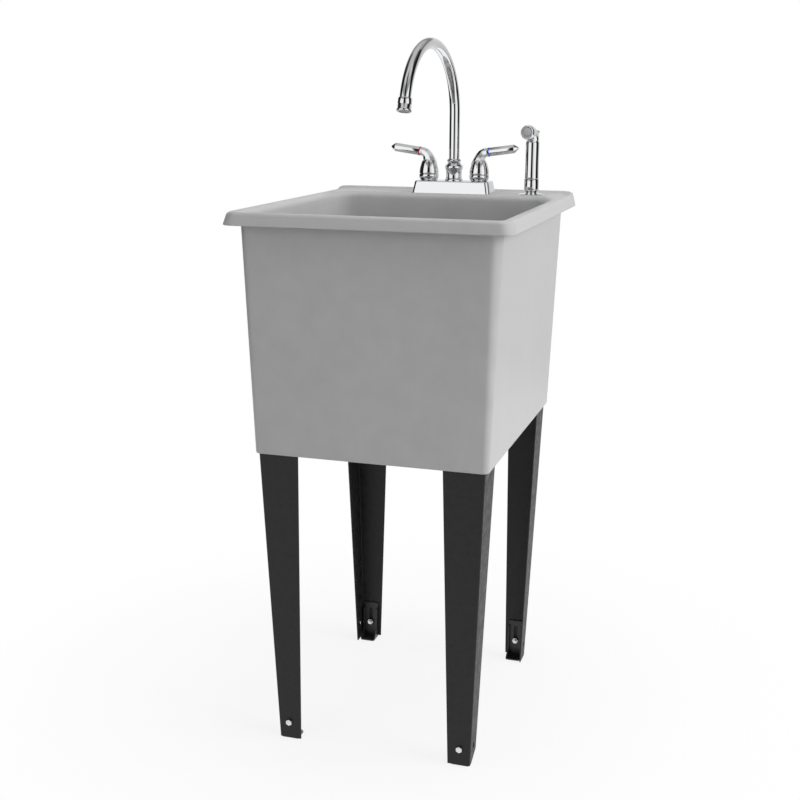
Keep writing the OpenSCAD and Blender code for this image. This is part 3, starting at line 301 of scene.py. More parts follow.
handling, source, sink = effect_group("handling", {"Scale": 22, "Threshold": 0.52}, ("Film",))
smudge = noise_in(handling, 5, 0.62)
edge = handling.nodes.new("ShaderNodeMapRange")
edge.interpolation_type = "SMOOTHSTEP"
edge.inputs["From Max"].default_value = 0.8
handling.links.new(source.outputs["Vector"], smudge.inputs["Vector"])
handling.links.new(source.outputs["Scale"], smudge.inputs["Scale"])
handling.links.new(smudge.outputs["Fac"], edge.inputs["Value"])
handling.links.new(source.outputs["Threshold"], edge.inputs["From Min"])
handling.links.new(edge.outputs["Result"], sink.inputs["Film"])
print("effect groups: moulded_skin, machined_lines, handling")

# %% [markdown]
# ## Finishes
# Every finish is a plain material with its own values set straight on the shader. The effects only vary its colour,
# roughness and bump, at the scale of the real thing: the tub's orange peel is one to two millimetres wide and very
# shallow, the powder paint on the legs is finer and deeper, and the chrome is smooth but for a film on it.

# %% Finish helper


def finish_of(name, colour, tone, roughness, effect, values, bump=0.0, depth=0.0002, **fixed):
    """A material whose colour runs between two tones and whose roughness runs between two levels."""
    material = bpy.data.materials.new(name)
    material.use_nodes = True
    nodes, link = material.node_tree.nodes, material.node_tree.links.new
    shader = nodes["Principled BSDF"]
    for socket, value in fixed.items():
        shader.inputs[socket.replace("_", " ")].default_value = value
    place, group = nodes.new("ShaderNodeTexCoord"), nodes.new("ShaderNodeGroup")
    group.node_tree = effect
    link(place.outputs["Object"], group.inputs["Vector"])
    for socket, value in values.items():
        group.inputs[socket].default_value = value
    mask = group.outputs[-1]
    ramp = nodes.new("ShaderNodeValToRGB")
    ramp.color_ramp.elements[0].position, ramp.color_ramp.elements[1].position = 0.3, 0.7
    ramp.color_ramp.elements[0].color = (*colour, 1)
    ramp.color_ramp.elements[1].color = (*tone, 1)
    rough = nodes.new("ShaderNodeMapRange")
    rough.inputs["From Min"].default_value, rough.inputs["From Max"].default_value = 0.25, 0.75
    rough.inputs["To Min"].default_value, rough.inputs["To Max"].default_value = roughness
    link(mask, ramp.inputs["Fac"])
    link(mask, rough.inputs["Value"])
    link(ramp.outputs["Color"], shader.inputs["Base Color"])
    link(rough.outputs["Result"], shader.inputs["Roughness"])
    if bump:
        raised = nodes.new("ShaderNodeBump")
        raised.inputs["Strength"].default_value = bump
        raised.inputs["Distance"].default_value = depth
        link(group.outputs[0], raised.inputs["Height"])
        link(raised.outputs["Normal"], shader.inputs["Normal"])
    return material


# %% The finishes
PEEL, LINES, FILM = moulded_skin, machined_lines, handling
finishes = {
    "tub_plastic": finish_of(
        "satin_grey_plastic", (0.4, 0.4, 0.404), (0.43, 0.43, 0.434), (0.3, 0.42), PEEL,
        {"Grain Scale": 620, "Cloud Scale": 30}, 0.22, 0.0003, IOR=1.5,
    ),
    "leg_paint": finish_of(
        "black_powder_paint", (0.0035, 0.0035, 0.0038), (0.0145, 0.0145, 0.015), (0.34, 0.6), PEEL,
        {"Grain Scale": 900, "Cloud Scale": 95}, 0.45, 0.0003, IOR=1.4,
    ),
    "foot_paint": finish_of(
        "black_foot_paint", (0.009, 0.009, 0.0095), (0.016, 0.016, 0.017), (0.26, 0.42), PEEL,
        {"Grain Scale": 1700, "Cloud Scale": 40}, 0.3, 0.00015, IOR=1.5,
    ),
    "zinc": finish_of(
        "zinc_plate", (0.66, 0.67, 0.69), (0.78, 0.79, 0.8), (0.24, 0.4), LINES,
        {"Along": 240, "Across": 2400}, 0.12, 0.0001, Metallic=1,
    ),
    "chrome": finish_of(
        "polished_chrome", (0.86, 0.865, 0.875), (0.82, 0.825, 0.835), (0.012, 0.05), FILM,
        {"Scale": 26, "Threshold": 0.5}, Metallic=1,
    ),
    "drain_steel": finish_of(
        "satin_drain_steel", (0.54, 0.55, 0.57), (0.64, 0.65, 0.66), (0.2, 0.34), LINES,
        {"Along": 90, "Across": 3000}, 0.14, 0.0001, Metallic=1,
    ),
    "rubber": finish_of(
        "black_rubber", (0.018, 0.018, 0.02), (0.03, 0.03, 0.032), (0.6, 0.75), PEEL,
        {"Grain Scale": 2600, "Cloud Scale": 60}, 0.3, 0.0002,
    ),
    "brass": finish_of(
        "cast_brass", (0.62, 0.44, 0.19), (0.5, 0.33, 0.13), (0.26, 0.45), PEEL,
        {"Grain Scale": 1900, "Cloud Scale": 70}, 0.35, 0.0002, Metallic=1,
    ),
    "white_plastic": finish_of(
        "white_moulded_plastic", (0.78, 0.77, 0.73), (0.72, 0.71, 0.67), (0.3, 0.42), PEEL,
        {"Grain Scale": 1400, "Cloud Scale": 40}, 0.15, 0.0002, IOR=1.48,
    ),
    "hot_ring": finish_of(
        "red_ring_enamel", (0.62, 0.02, 0.045), (0.7, 0.03, 0.055), (0.2, 0.32), PEEL,
        {"Grain Scale": 2400, "Cloud Scale": 120}, 0.1, 0.0001,
    ),
    "cold_ring": finish_of(
        "blue_ring_enamel", (0.008, 0.1, 0.78), (0.015, 0.14, 0.86), (0.2, 0.32), PEEL,
        {"Grain Scale": 2400, "Cloud Scale": 120}, 0.1, 0.0001,
    ),
    "spray_face": finish_of(
        "grey_spray_face", (0.5, 0.51, 0.52), (0.58, 0.59, 0.6), (0.3, 0.42), PEEL,
        {"Grain Scale": 2600, "Cloud Scale": 200}, 0.2, 0.0002,
    ),
}
print("finishes:", ", ".join(finishes))

# %% [markdown]
# ## CAD nodes that stay
# Seals, valves, nuts and other inner pieces keep their CAD shape, because it is already right and they are mostly out
# of sight. Each takes the finish of its own slot, laid on the object and not on its mesh, which stays as it came.

# %% Finish the CAD nodes
for node, piece in frame["nodes"].items():
    for slot in piece.material_slots:
        slot.link = "OBJECT"
        slot.material = finishes[slot_of_node[node]]
print("finished", len(frame["nodes"]), "CAD nodes")

# %% [markdown]
# ## Helpers for new pieces
# Drawing in millimetres keeps the numbers close to a ruler's, so a piece is made at that size and scaled once when it
# is placed. Round parts are spun from half of their profile. Real edges are never razor sharp, and a thin bevel on
# them catches the light, which does more for the look of metal than any texture.

# %% Helpers for new pieces
MM, SPIN_STEPS = 0.001, 64


def place_piece(name, bm, node, sharp=34, weighted=False):
    """Turns a bmesh in millimetres into the piece that stands for a CAD node and moves with its body."""
    bmesh.ops.scale(bm, verts=bm.verts, vec=(MM, MM, MM))
    mesh = bpy.data.meshes.new(name)
    bm.to_mesh(mesh)
    bm.free()
    mesh.shade_smooth()
    mesh.set_sharp_from_angle(angle=math.radians(sharp))
    piece = bpy.data.objects.new(name, mesh)
    scene.collection.objects.link(piece)
    mesh.materials.append(finishes[slot_of_node[node]])
    if weighted:
        normals = piece.modifiers.new("even_shading", "WEIGHTED_NORMAL")
        normals.keep_sharp = True
    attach(piece, body_of_node[node])
    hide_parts(node)
    print(name, "has", len(mesh.polygons), "faces")
    return piece


def soften(bm, width, angle=30, segments=2, keep=None):
    """Bevels every edge that turns by more than an angle."""
    edges = [
        e for e in bm.edges
        if len(e.link_faces) == 2 and e.calc_face_angle(0) > math.radians(angle) and (keep is None or keep(e))
    ]
    bmesh.ops.bevel(
        bm, geom=edges, offset=width, offset_type="OFFSET", segments=segments, profile=0.5,
        affect="EDGES", clamp_overlap=True, material=-1,
    )


def spun(profile, centre=(0, 0)):
    """A closed solid of revolution round the Z axis through centre, from (radius, height) points in order."""
    bm = bmesh.new()
    verts = [bm.verts.new((radius, 0, height)) for radius, height in profile]
    edges = [bm.edges.new(pair) for pair in zip(verts, verts[1:])]
    if min(profile[0][0], profile[-1][0]) > 0:
        edges.append(bm.edges.new((verts[-1], verts[0])))
    bmesh.ops.spin(
        bm, geom=verts + edges, axis=(0, 0, 1), cent=(0, 0, 0), angle=math.tau, steps=SPIN_STEPS, use_merge=True,
    )
    bmesh.ops.remove_doubles(bm, verts=bm.verts, dist=0.001)
    bmesh.ops.recalc_face_normals(bm, faces=bm.faces)
    bmesh.ops.translate(bm, verts=bm.verts, vec=(*centre, 0))
    return bm


def welded(node):
    """A copy of a CAD node's mesh in millimetres, with its loose triangles joined into whole faces."""
    bm = bmesh.new()
    bm.from_mesh(frame["nodes"][node].data)
    bmesh.ops.transform(bm, matrix=frame["nodes"][node].matrix_world, verts=bm.verts)
    bmesh.ops.scale(bm, verts=bm.verts, vec=(1 / MM, 1 / MM, 1 / MM))
    bmesh.ops.remove_doubles(bm, verts=bm.verts, dist=0.002)
    bmesh.ops.dissolve_limit(bm, angle_limit=math.radians(0.5), verts=bm.verts, edges=bm.edges)
    bmesh.ops.recalc_face_normals(bm, faces=bm.faces)
    return bm


# %% [markdown]
# ## Tub
# The tub is one moulded shell: a skirt, walls that taper, a flared rim, a deck behind the basin that rises to a back
# lip, and a basin with generous inner corners. A box with bevels can't give corner radii that change from 10 mm at the
# skirt to 30 mm at the front of the basin floor and 48 mm at its back. So one rounded rectangle is extruded again and
# again, and after each step its corners are moved to that level's width, depth and radii. Each point remembers which
# corner it belongs to.

# %% Tub sizes
RIM_TOP, SKIRT_BOTTOM, FLOOR_TOP, FLOOR_UNDER = 880, 501, 559, 554
SKIN, WALL = 4, 5
SKIRT_X, SKIRT_Y, LEAN_X, LEAN_Y, BACK_LEAN = 189, 238.5, 14.5, 9.5, 15
FLANGE_X, FLANGE_Y, FLANGE_BOTTOM, FLARE, RIM_EDGE, RIM_ROLL = 225.5, 266.5, 860, 5, 5, 10
DECK_FRONT, DECK_RAMP, DECK_RISE, DECK_SIDE = 170, 46, 2, 22
LIP_START, LIP_SLOPE, LIP_RISE = 236.5, 14, 5.5
CREST_X, CREST_Y = 215.5, 256.5
RIM_CORNER, BASIN_CORNER, FLOOR_CORNER, REAR_CORNER, FLOOR_ROLL = 20, 14, 30, 48, 25
REAR_STEPS = (253.5, 250.5, 247, 243.5, 240, LIP_START, 226, 198, 178)
CORNER_STEPS, ARC_STEPS = 8, 5
SIDE_SHARES = (0.12, 0.3, 0.5, 0.66, 0.74, 0.765, 0.79, 0.81, 0.83, 0.85, 0.88, 0.92, 0.955, 0.98)


def wall_x(z):
    return SKIRT_X + LEAN_X * (z - SKIRT_BOTTOM) / (FLANGE_BOTTOM - SKIRT_BOTTOM)


def wall_y(z):
    return SKIRT_Y + LEAN_Y * (z - SKIRT_BOTTOM) / (FLANGE_BOTTOM - SKIRT_BOTTOM)


def back_wall(z):
    return DECK_FRONT - RIM_ROLL - BACK_LEAN * (RIM_TOP - z) / (RIM_TOP - FLOOR_TOP)


def step_up(t):
    t = min(1, max(0, t))
    return t * t * (3 - 2 * t)


def deck_rise(x, y):
    """How far the top surfaces rise: onto the deck, away from the side rims, then onto the lip."""
    onto_lip = step_up((y - LIP_START) / LIP_SLOPE)
    onto_deck = step_up((y - DECK_FRONT + DECK_RAMP) / DECK_RAMP) * step_up((CREST_X - abs(x)) / DECK_SIDE)
    return DECK_RISE * onto_deck * (1 - onto_lip) + LIP_RISE * onto_lip


# %% Rounded rectangle that can be extruded level by level


def first_ring(bm):
    """A rounded rectangle whose points carry their corner and their direction from its centre."""
    for name in ("corner", "aim"):
        bm.verts.layers.float_vector.new(name)
    corner, aim = (bm.verts.layers.float_vector[name] for name in ("corner", "aim"))
    verts = []
    for number, (sx, sy) in enumerate(((1, -1), (1, 1), (-1, 1), (-1, -1))):
        for step in range(CORNER_STEPS + 1):
            angle = math.radians(90 * (number + step / CORNER_STEPS) - 90)
            vert = bm.verts.new((0, 0, 0))
            vert[corner], vert[aim] = (sx, sy, -1), (math.cos(angle), math.sin(angle), 0)
            verts.append(vert)
        if number in (0, 2):
            for share in SIDE_SHARES if number == 0 else reversed(SIDE_SHARES):
                vert = bm.verts.new((0, 0, 0))
                vert[corner], vert[aim] = (sx, 0, share), (sx, 0, 0)
                verts.append(vert)
    return [bm.edges.new((verts[k], verts[(k + 1) % len(verts)])) for k in range(len(verts))]


def settle(bm, verts, level):
    """Moves one ring to a level: half width, front y, back y, corner radii in front and behind, height, lift."""
    half, front, rear, front_radius, rear_radius, z, lift = level
    corner, aim = bm.verts.layers.float_vector["corner"], bm.verts.layers.float_vector["aim"]
    for vert in verts:
        sx, sy, share = vert[corner]
        radius = rear_radius if sy > 0 else front_radius
        low, high = front + front_radius, rear - rear_radius
        y = low + (high - low) * share if share >= 0 else (low if sy < 0 else high)
        x, y = sx * (half - radius) + vert[aim][0] * radius, y + vert[aim][1] * radius
        vert.co = (x, y, z + lift * deck_rise(x, y))


def grow(bm, edges, levels):
    """Extrudes a ring through levels and returns the edges of the last one."""
    for level in levels:
        made = bmesh.ops.extrude_edge_only(bm, edges=edges)["geom"]
        verts = [g for g in made if isinstance(g, bmesh.types.BMVert)]
        fresh = set(verts)
        edges = [g for g in made if isinstance(g, bmesh.types.BMEdge) and set(g.verts) <= fresh]
        settle(bm, verts, level)
    return edges


def box_level(half_x, half_y, radius, z, lift=0):
    return (half_x, -half_y, half_y, radius, radius, z, lift)


def wall_level(z, inset, radius, lift=0):
    return box_level(wall_x(z) - inset, wall_y(z) - inset, radius, z, lift)


def flange_level(inset, radius, z, lift=0):
    return box_level(FLANGE_X - inset, FLANGE_Y - inset, radius, z, lift)


# %% Levels of the tub, from under its floor to its floor
arc = [math.radians(90 * k / ARC_STEPS) for k in range(ARC_STEPS + 1)]
levels = [
    wall_level(*row) for row in (
        (FLOOR_UNDER - 3, SKIN, 6), (SKIRT_BOTTOM + 6, SKIN, 6), (SKIRT_BOTTOM + 0.8, SKIN, 6),
        (SKIRT_BOTTOM, SKIN - 0.8, 6.8), (SKIRT_BOTTOM, 1.4, 8.6), (SKIRT_BOTTOM + 0.4, 0.5, 9.5),
        (SKIRT_BOTTOM + 1.4, 0, 10), (SKIRT_BOTTOM + 8, 0, 10.2), (600, 0, 12.2), (700, 0, 14.5), (800, 0, 16.7),
        (860, 0, 18), (873, 0, 18), (876, 0, 18, 1),
    )
]
levels += [
    flange_level(*row) for row in (
        (6.5, 16, 876, 1), (9.2 - FLARE, 16, 862), (3.4, 17, 860.6), (2.6, 18, FLANGE_BOTTOM), (1.3, 19, FLANGE_BOTTOM),
        (0.4, 19.6, FLANGE_BOTTOM + 0.4), (0.05, RIM_CORNER, FLANGE_BOTTOM + 1.4),
        (0.6, RIM_CORNER, FLANGE_BOTTOM + 3.4, 0.15),
    )
]
for angle in reversed(arc):
    out, fall = RIM_EDGE * math.sin(angle), RIM_EDGE * (1 - math.cos(angle))
    spread = FLARE * fall / (RIM_TOP - FLANGE_BOTTOM)
    levels.append(box_level(CREST_X + out + spread, CREST_Y + out + spread, RIM_CORNER, RIM_TOP - fall, 1))
roll_x = wall_x(RIM_TOP - RIM_ROLL) - WALL + RIM_ROLL
roll_y = wall_y(RIM_TOP - RIM_ROLL) - WALL + RIM_ROLL
for number, rear in enumerate(REAR_STEPS):
    t = (number + 1) / (len(REAR_STEPS) + 1)
    levels.append((
        CREST_X + (roll_x - CREST_X) * t, -CREST_Y + (CREST_Y - roll_y) * t, rear,
        RIM_CORNER - (RIM_CORNER - BASIN_CORNER) * t, RIM_CORNER + (REAR_CORNER - RIM_CORNER) * t * t * t, RIM_TOP, 1,
    ))
for angle in arc:
    inset, fall = RIM_ROLL * math.sin(angle), RIM_ROLL * (1 - math.cos(angle))
    levels.append((
        roll_x - inset, inset - roll_y, DECK_FRONT - inset, BASIN_CORNER, REAR_CORNER, RIM_TOP - fall, 1,
    ))
for z, radius in ((862, 14.3), (820, 16.5), (760, 20), (700, 23), (640, 26.5), (596, 29)):
    levels.append((wall_x(z) - WALL, WALL - wall_y(z), back_wall(z), radius, REAR_CORNER, z, 0))
roll_top = FLOOR_TOP + FLOOR_ROLL
for angle in arc:
    inset = FLOOR_ROLL * (1 - math.cos(angle))
    levels.append((
        wall_x(roll_top) - WALL - inset, inset + WALL - wall_y(roll_top), back_wall(roll_top) - inset,
        FLOOR_CORNER - inset, REAR_CORNER - inset, FLOOR_TOP + FLOOR_ROLL * (1 - math.sin(angle)), 0,
    ))
print("tub levels:", len(levels))

# %% Tub shell with its drain hole
DRAIN_Y, RECESS_R, HOLE_R = -47.5, 38.3, 22.35
RECESS_DEPTH, RECESS_EDGE = 2, 0.8

bm = bmesh.new()
start = first_ring(bm)
settle(bm, bm.verts, wall_level(FLOOR_UNDER, SKIN, 6))
floor_edges = grow(bm, start, levels)


def sized_circle(verts, radius, z):
    """Moves a ring to a radius round the drain's axis and to a height."""
    for vert in verts:
        flat = Vector((vert.co.x, vert.co.y - DRAIN_Y)).normalized() * radius
        vert.co = (flat.x, flat.y + DRAIN_Y, z)


verts = bmesh.ops.create_circle(
    bm, cap_ends=False, radius=RECESS_R, segments=len(floor_edges), matrix=Matrix.Translation((0, DRAIN_Y, FLOOR_TOP)),
)["verts"]
circle = list({e for v in verts for e in v.link_edges})
sized_circle(verts, RECESS_R + RECESS_EDGE, FLOOR_TOP)
bmesh.ops.bridge_loops(bm, edges=floor_edges + circle)
for radius, z in (
    (RECESS_R, FLOOR_TOP - RECESS_EDGE), (RECESS_R, FLOOR_TOP - RECESS_DEPTH), (HOLE_R, FLOOR_TOP - RECESS_DEPTH),
    (HOLE_R, FLOOR_UNDER),
):
    made = bmesh.ops.extrude_edge_only(bm, edges=circle)["geom"]
    verts = [g for g in made if isinstance(g, bmesh.types.BMVert)]
    circle = [g for g in made if isinstance(g, bmesh.types.BMEdge) and set(g.verts) <= set(verts)]
    sized_circle(verts, radius, z)
bmesh.ops.bridge_loops(bm, edges=start + circle)
bmesh.ops.recalc_face_normals(bm, faces=bm.faces)
for name in ("corner", "aim"):
    bm.verts.layers.float_vector.remove(bm.verts.layers.float_vector[name])
tub = place_piece("tub_shell", bm, "tub", sharp=32)

# %% [markdown]
# Behind the basin the tub is hollow, so that a hand can reach the faucet's nuts through a hole in the shelf between the
# rear legs. A Boolean with a tapered box cuts the hollow, and a second one cuts the hole and the holes in the deck.
# Its result is written into the tub's mesh at once, so the piece carries no cutter with it.

# %% Service space, shelf hole and deck holes
SHELF_X, SHELF_BACK = 111.5, 235.9
DECK_Z = RIM_TOP + DECK_RISE
FAUCET_X, FAUCET_Y = 15.5, 196
SPRAYER_X = 155.5
SHANK_OFFSET, SHANK_HOLE_R, SPRAYER_HOLE_R, HOLE_L = 50.8, 14, 12.5, 14
SPACE_CORNER, UPRIGHT = 6, 100


def cutter(name, bm):
    bmesh.ops.recalc_face_normals(bm, faces=bm.faces)
    bmesh.ops.scale(bm, verts=bm.verts, vec=(MM, MM, MM))
    mesh = bpy.data.meshes.new(name)
    bm.to_mesh(mesh)
    bm.free()
    tool = bpy.data.objects.new(name, mesh)
    scene.collection.objects.link(tool)
    return tool


def cut(piece, tool):
    """Takes a cutter away from a piece and drops the cutter."""
    action = piece.modifiers.new("cut", "BOOLEAN")
    action.operation, action.solver, action.object = "DIFFERENCE", "EXACT", tool
    bpy.context.view_layer.update()
    shaped = bpy.data.meshes.new_from_object(piece.evaluated_get(bpy.context.evaluated_depsgraph_get()))
    piece.modifiers.remove(action)
    piece.data = shaped
    bpy.data.objects.remove(tool)


bm = bmesh.new()
bmesh.ops.create_cube(bm, size=1)
for vert in bm.verts:
    z = FLOOR_TOP if vert.co.z < 0 else DECK_Z - SKIN
    y = back_wall(z) + WALL if vert.co.y < 0 else wall_y(z) - SKIN
    vert.co = (math.copysign(wall_x(z) - SKIN, vert.co.x), y, z)
soften(bm, SPACE_CORNER, segments=3, keep=lambda e: abs(e.verts[0].co.z - e.verts[1].co.z) > UPRIGHT)
cut(tub, cutter("service_space", bm))

bm = bmesh.new()
bmesh.ops.create_cube(bm, size=1)
for vert in bm.verts:
    y = back_wall(FLOOR_TOP) + WALL + 0.2 if vert.co.y < 0 else SHELF_BACK
    vert.co = (math.copysign(SHELF_X, vert.co.x), y, FLOOR_UNDER - 3 if vert.co.z < 0 else FLOOR_TOP + 2)
for x, radius in (
    (FAUCET_X - SHANK_OFFSET, SHANK_HOLE_R), (FAUCET_X + SHANK_OFFSET, SHANK_HOLE_R), (SPRAYER_X, SPRAYER_HOLE_R),
):
    bmesh.ops.create_cone(
        bm, cap_ends=True, segments=48, radius1=radius, radius2=radius, depth=HOLE_L,
        matrix=Matrix.Translation((x, FAUCET_Y, DECK_Z - SKIN)),
    )
cut(tub, cutter("tub_holes", bm))
tub.data.shade_smooth()
tub.data.set_sharp_from_angle(angle=math.radians(32))
print("tub cut:", len(tub.data.polygons), "faces")

# %% [markdown]
# Four ribs under the floor are the sockets that hold the legs against the skirt. Each is an L-shaped strip drawn out
# along the lean of its leg; one is made and mirrored to the other three corners.

# %% Leg sockets under the floor
LEG_X, LEG_Y, LEG_LEAN_X, LEG_LEAN_Y = 183.5, -233, 19.5, 17
SOCKET_Z, SOCKET_L, SOCKET_T, SOCKET_IN, SOCKET_EDGE = 509, 44, 3, 2.3, 0.8


def lean(z):
    """The leg's outer corner line at a height, for the right front leg."""
    fall = SKIRT_BOTTOM - z
    return Vector((LEG_X - LEG_LEAN_X * fall / SKIRT_BOTTOM, LEG_Y + LEG_LEAN_Y * fall / SKIRT_BOTTOM, z))


def four_corners(bm):
    bmesh.ops.mirror(bm, geom=bm.verts[:] + bm.edges[:] + bm.faces[:], axis="X", merge_dist=0)
    bmesh.ops.mirror(bm, geom=bm.verts[:] + bm.edges[:] + bm.faces[:], axis="Y", merge_dist=0)
    bmesh.ops.recalc_face_normals(bm, faces=bm.faces)


bm = bmesh.new()
low, high = (lean(z) + Vector((-SOCKET_IN, SOCKET_IN, 0)) for z in (SOCKET_Z, FLOOR_UNDER))
outline = [
    (-SOCKET_L, 0), (0, 0), (0, SOCKET_L), (-SOCKET_T, SOCKET_L), (-SOCKET_T, SOCKET_T), (-SOCKET_L, SOCKET_T),
]
face = bm.faces.new([bm.verts.new(low + Vector((x, y, 0))) for x, y in outline])
made = bmesh.ops.extrude_face_region(bm, geom=[face])["geom"]
bmesh.ops.translate(bm, verts=[g for g in made if isinstance(g, bmesh.types.BMVert)], vec=high - low)
soften(bm, SOCKET_EDGE, angle=60)
four_corners(bm)
place_piece("tub_leg_sockets", bm, "tub")

# %% [markdown]
# ## Legs, feet and their bolts
# Each leg is folded from 2 mm sheet steel and tapers to the floor. Its CAD shape has the right fold, holes and slots,
# so a copy is joined up from its loose triangles, and a fine bevel turns the cut edges of the sheet. The feet are
# treated in the same way. The bolts get real hexagon heads with a chamfered crown.

# %% Legs and feet
for corner in ("front_left", "front_right", "rear_left", "rear_right"):
    for part, width in (("leg", 0.45), ("foot", 0.4)):
        bm = welded(f"{part}_{corner}")
        soften(bm, width, angle=40)
        place_piece(f"{part}_{corner}_sheet", bm, f"{part}_{corner}", sharp=30, weighted=True)

# %% Bolts
BOLT_Z, BOLT_EDGE, BOLT_R, HEAD_R = 31, 18.5, 3, 5.7
HEAD_H, HEAD_START, HEAD_CROWN, BOLT_L, BOLT_MIDDLE = 4, 0.2, 0.7, 15, -7.2
BOLT_TILT = math.atan(LEG_LEAN_Y / SKIRT_BOTTOM)
outer = lean(BOLT_Z)
on_flange = (
    Matrix.Translation((outer.x - BOLT_EDGE, outer.y, BOLT_Z)) @ Matrix.Rotation(math.pi / 2 + BOLT_TILT, 4, "X")
)


def hex_block(bm, radius, height, z, crown):
    """A hexagon with its corners turned off on the face that shows."""
    made = bmesh.ops.create_cone(
        bm, cap_ends=True, segments=6, radius1=radius, radius2=radius, depth=height,
        matrix=Matrix.Translation((0, 0, z + height / 2)),
    )["verts"]
    ends = {v for v in made if abs(v.co.z - (z + height)) < 0.01}
    faces = [f for f in bm.faces if set(f.verts) <= ends]
    bmesh.ops.bevel(
        bm, geom=[e for f in faces for e in f.edges], offset=crown, offset_type="OFFSET", segments=2, profile=0.5,
        affect="EDGES", clamp_overlap=True, material=-1,
    )


bm = bmesh.new()
hex_block(bm, HEAD_R, HEAD_H, HEAD_START, HEAD_CROWN)
bmesh.ops.create_cone(
    bm, cap_ends=True, segments=32, radius1=BOLT_R, radius2=BOLT_R, depth=BOLT_L,
    matrix=Matrix.Translation((0, 0, BOLT_MIDDLE)),
)
bmesh.ops.transform(bm, matrix=on_flange, verts=bm.verts)
four_corners(bm)
place_piece("foot_bolts_zinc", bm, "foot_bolts")
print("bolt axis starts at", [round(v, 1) for v in on_flange.translation])

# %% [markdown]
# ## Cover plate
# The chrome plate on the deck is a low box whose walls lean in. Its front is flat and mirrors one stretch of the tent,
# while its rounded corners squeeze many bands into narrow stripes. A cube is tapered and its corners bevelled, first
# the upright ones with a wide radius and then the top edge with a small one.

# %% Cover plate
PLATE_W, PLATE_D, PLATE_TOP = 142, 52, 903
PLATE_DRAFT, PLATE_CORNER, PLATE_EDGE, PLATE_GAP = 4, 7, 2, 0.05

bm = bmesh.new()
bmesh.ops.create_cube(bm, size=1)
for vert in bm.verts:
    draft = PLATE_DRAFT if vert.co.z > 0 else 0
    vert.co = (
        FAUCET_X + math.copysign(PLATE_W / 2 - draft, vert.co.x),
        FAUCET_Y + math.copysign(PLATE_D / 2 - draft, vert.co.y),
        PLATE_TOP if vert.co.z > 0 else DECK_Z + PLATE_GAP,
    )
soften(bm, PLATE_CORNER, segments=6, keep=lambda e: abs(e.verts[0].co.z - e.verts[1].co.z) > 10)
soften(bm, PLATE_EDGE, segments=4, keep=lambda e: min(v.co.z for v in e.verts) > PLATE_TOP - 0.1)
place_piece("cover_plate", bm, "faucet_plate", weighted=True)

# %% [markdown]
# ## Bonnets, spout nut and collar
# These are turned parts, so each is spun from its profile. Small steps in a profile, such as the ring at the top of the
# spout nut, give the bright and dark bands that the eye reads as chrome.

# %% Turned chrome parts
HUB_OFFSET, HUB_R, BONNET_TOP = 46, 17.6, 914.5
HUBS_X = {"hot": FAUCET_X - HUB_OFFSET, "cold": FAUCET_X + HUB_OFFSET}
NUT_TOP = PLATE_TOP + 30

for name, x in HUBS_X.items():
    profile = [
        (12, PLATE_TOP), (14.4, PLATE_TOP), (15.2, PLATE_TOP + 0.6), (16.2, PLATE_TOP + 2.4), (17.2, PLATE_TOP + 4.6),
        (HUB_R, PLATE_TOP + 6.6), (HUB_R, PLATE_TOP + 9.2), (17.3, BONNET_TOP - 0.7), (16.7, BONNET_TOP),
        (12, BONNET_TOP),
    ]
    place_piece(f"{name}_base_ring", spun(profile, (x, FAUCET_Y)), f"{name}_bonnet", sharp=50)

profile = [
    (12.4, PLATE_TOP), (16, PLATE_TOP), (16, PLATE_TOP + 1.6), (15.4, PLATE_TOP + 2.6), (14.2, PLATE_TOP + 4),
    (13.9, PLATE_TOP + 8), (13.9, PLATE_TOP + 15), (14.3, PLATE_TOP + 18), (15.3, PLATE_TOP + 20.6),
    (15.8, PLATE_TOP + 21.8), (15.8, PLATE_TOP + 25), (15.2, PLATE_TOP + 26.4), (13.2, PLATE_TOP + 28.6),
    (11.8, NUT_TOP), (9.7, NUT_TOP), (9.7, PLATE_TOP + 20), (12.4, PLATE_TOP + 20),
]
bm = spun(profile, (FAUCET_X, FAUCET_Y))
place_piece("spout_nut_chrome", bm, "spout_nut", sharp=40)

profile = [
    (9.4, NUT_TOP + 0.3), (11.2, NUT_TOP + 0.3), (11.5, NUT_TOP + 0.8), (11.5, NUT_TOP + 3), (12.6, NUT_TOP + 4.4),
    (12.7, NUT_TOP + 5.2), (11.9, NUT_TOP + 6.6), (10.6, NUT_TOP + 7.8), (9.9, NUT_TOP + 8.3), (9.4, NUT_TOP + 8.3),
]
place_piece("spout_collar_chrome", spun(profile, (FAUCET_X, FAUCET_Y)), "spout_collar", sharp=45)

# %% [markdown]
# ## Spout
# The spout is one bent tube. A circle is drawn up the riser, spun round the middle of the arch, and drawn on a little
# at the end. Solidify then gives it a wall, after its faces have been turned outwards.

# %% Spout tube
TUBE_R, TUBE_WALL, TUBE_START, RISER_Z, ARCH_Z, ARCH_R = 9.3, 1, 888.3, 960, 1018, 115.5
ARCH_SWEEP, ARCH_TURN, STUB, ARCH_STEPS = math.radians(166), math.radians(-95.5), 9, 72


def drawn_on(bm, edges, vec):
    """Extrudes an open ring by a vector and returns its new verts and edges."""
    made = bmesh.ops.extrude_edge_only(bm, edges=edges)["geom"]
    verts = [g for g in made if isinstance(g, bmesh.types.BMVert)]
    bmesh.ops.translate(bm, verts=verts, vec=vec)
    return verts, [g for g in made if isinstance(g, bmesh.types.BMEdge) and set(g.verts) <= set(verts)]


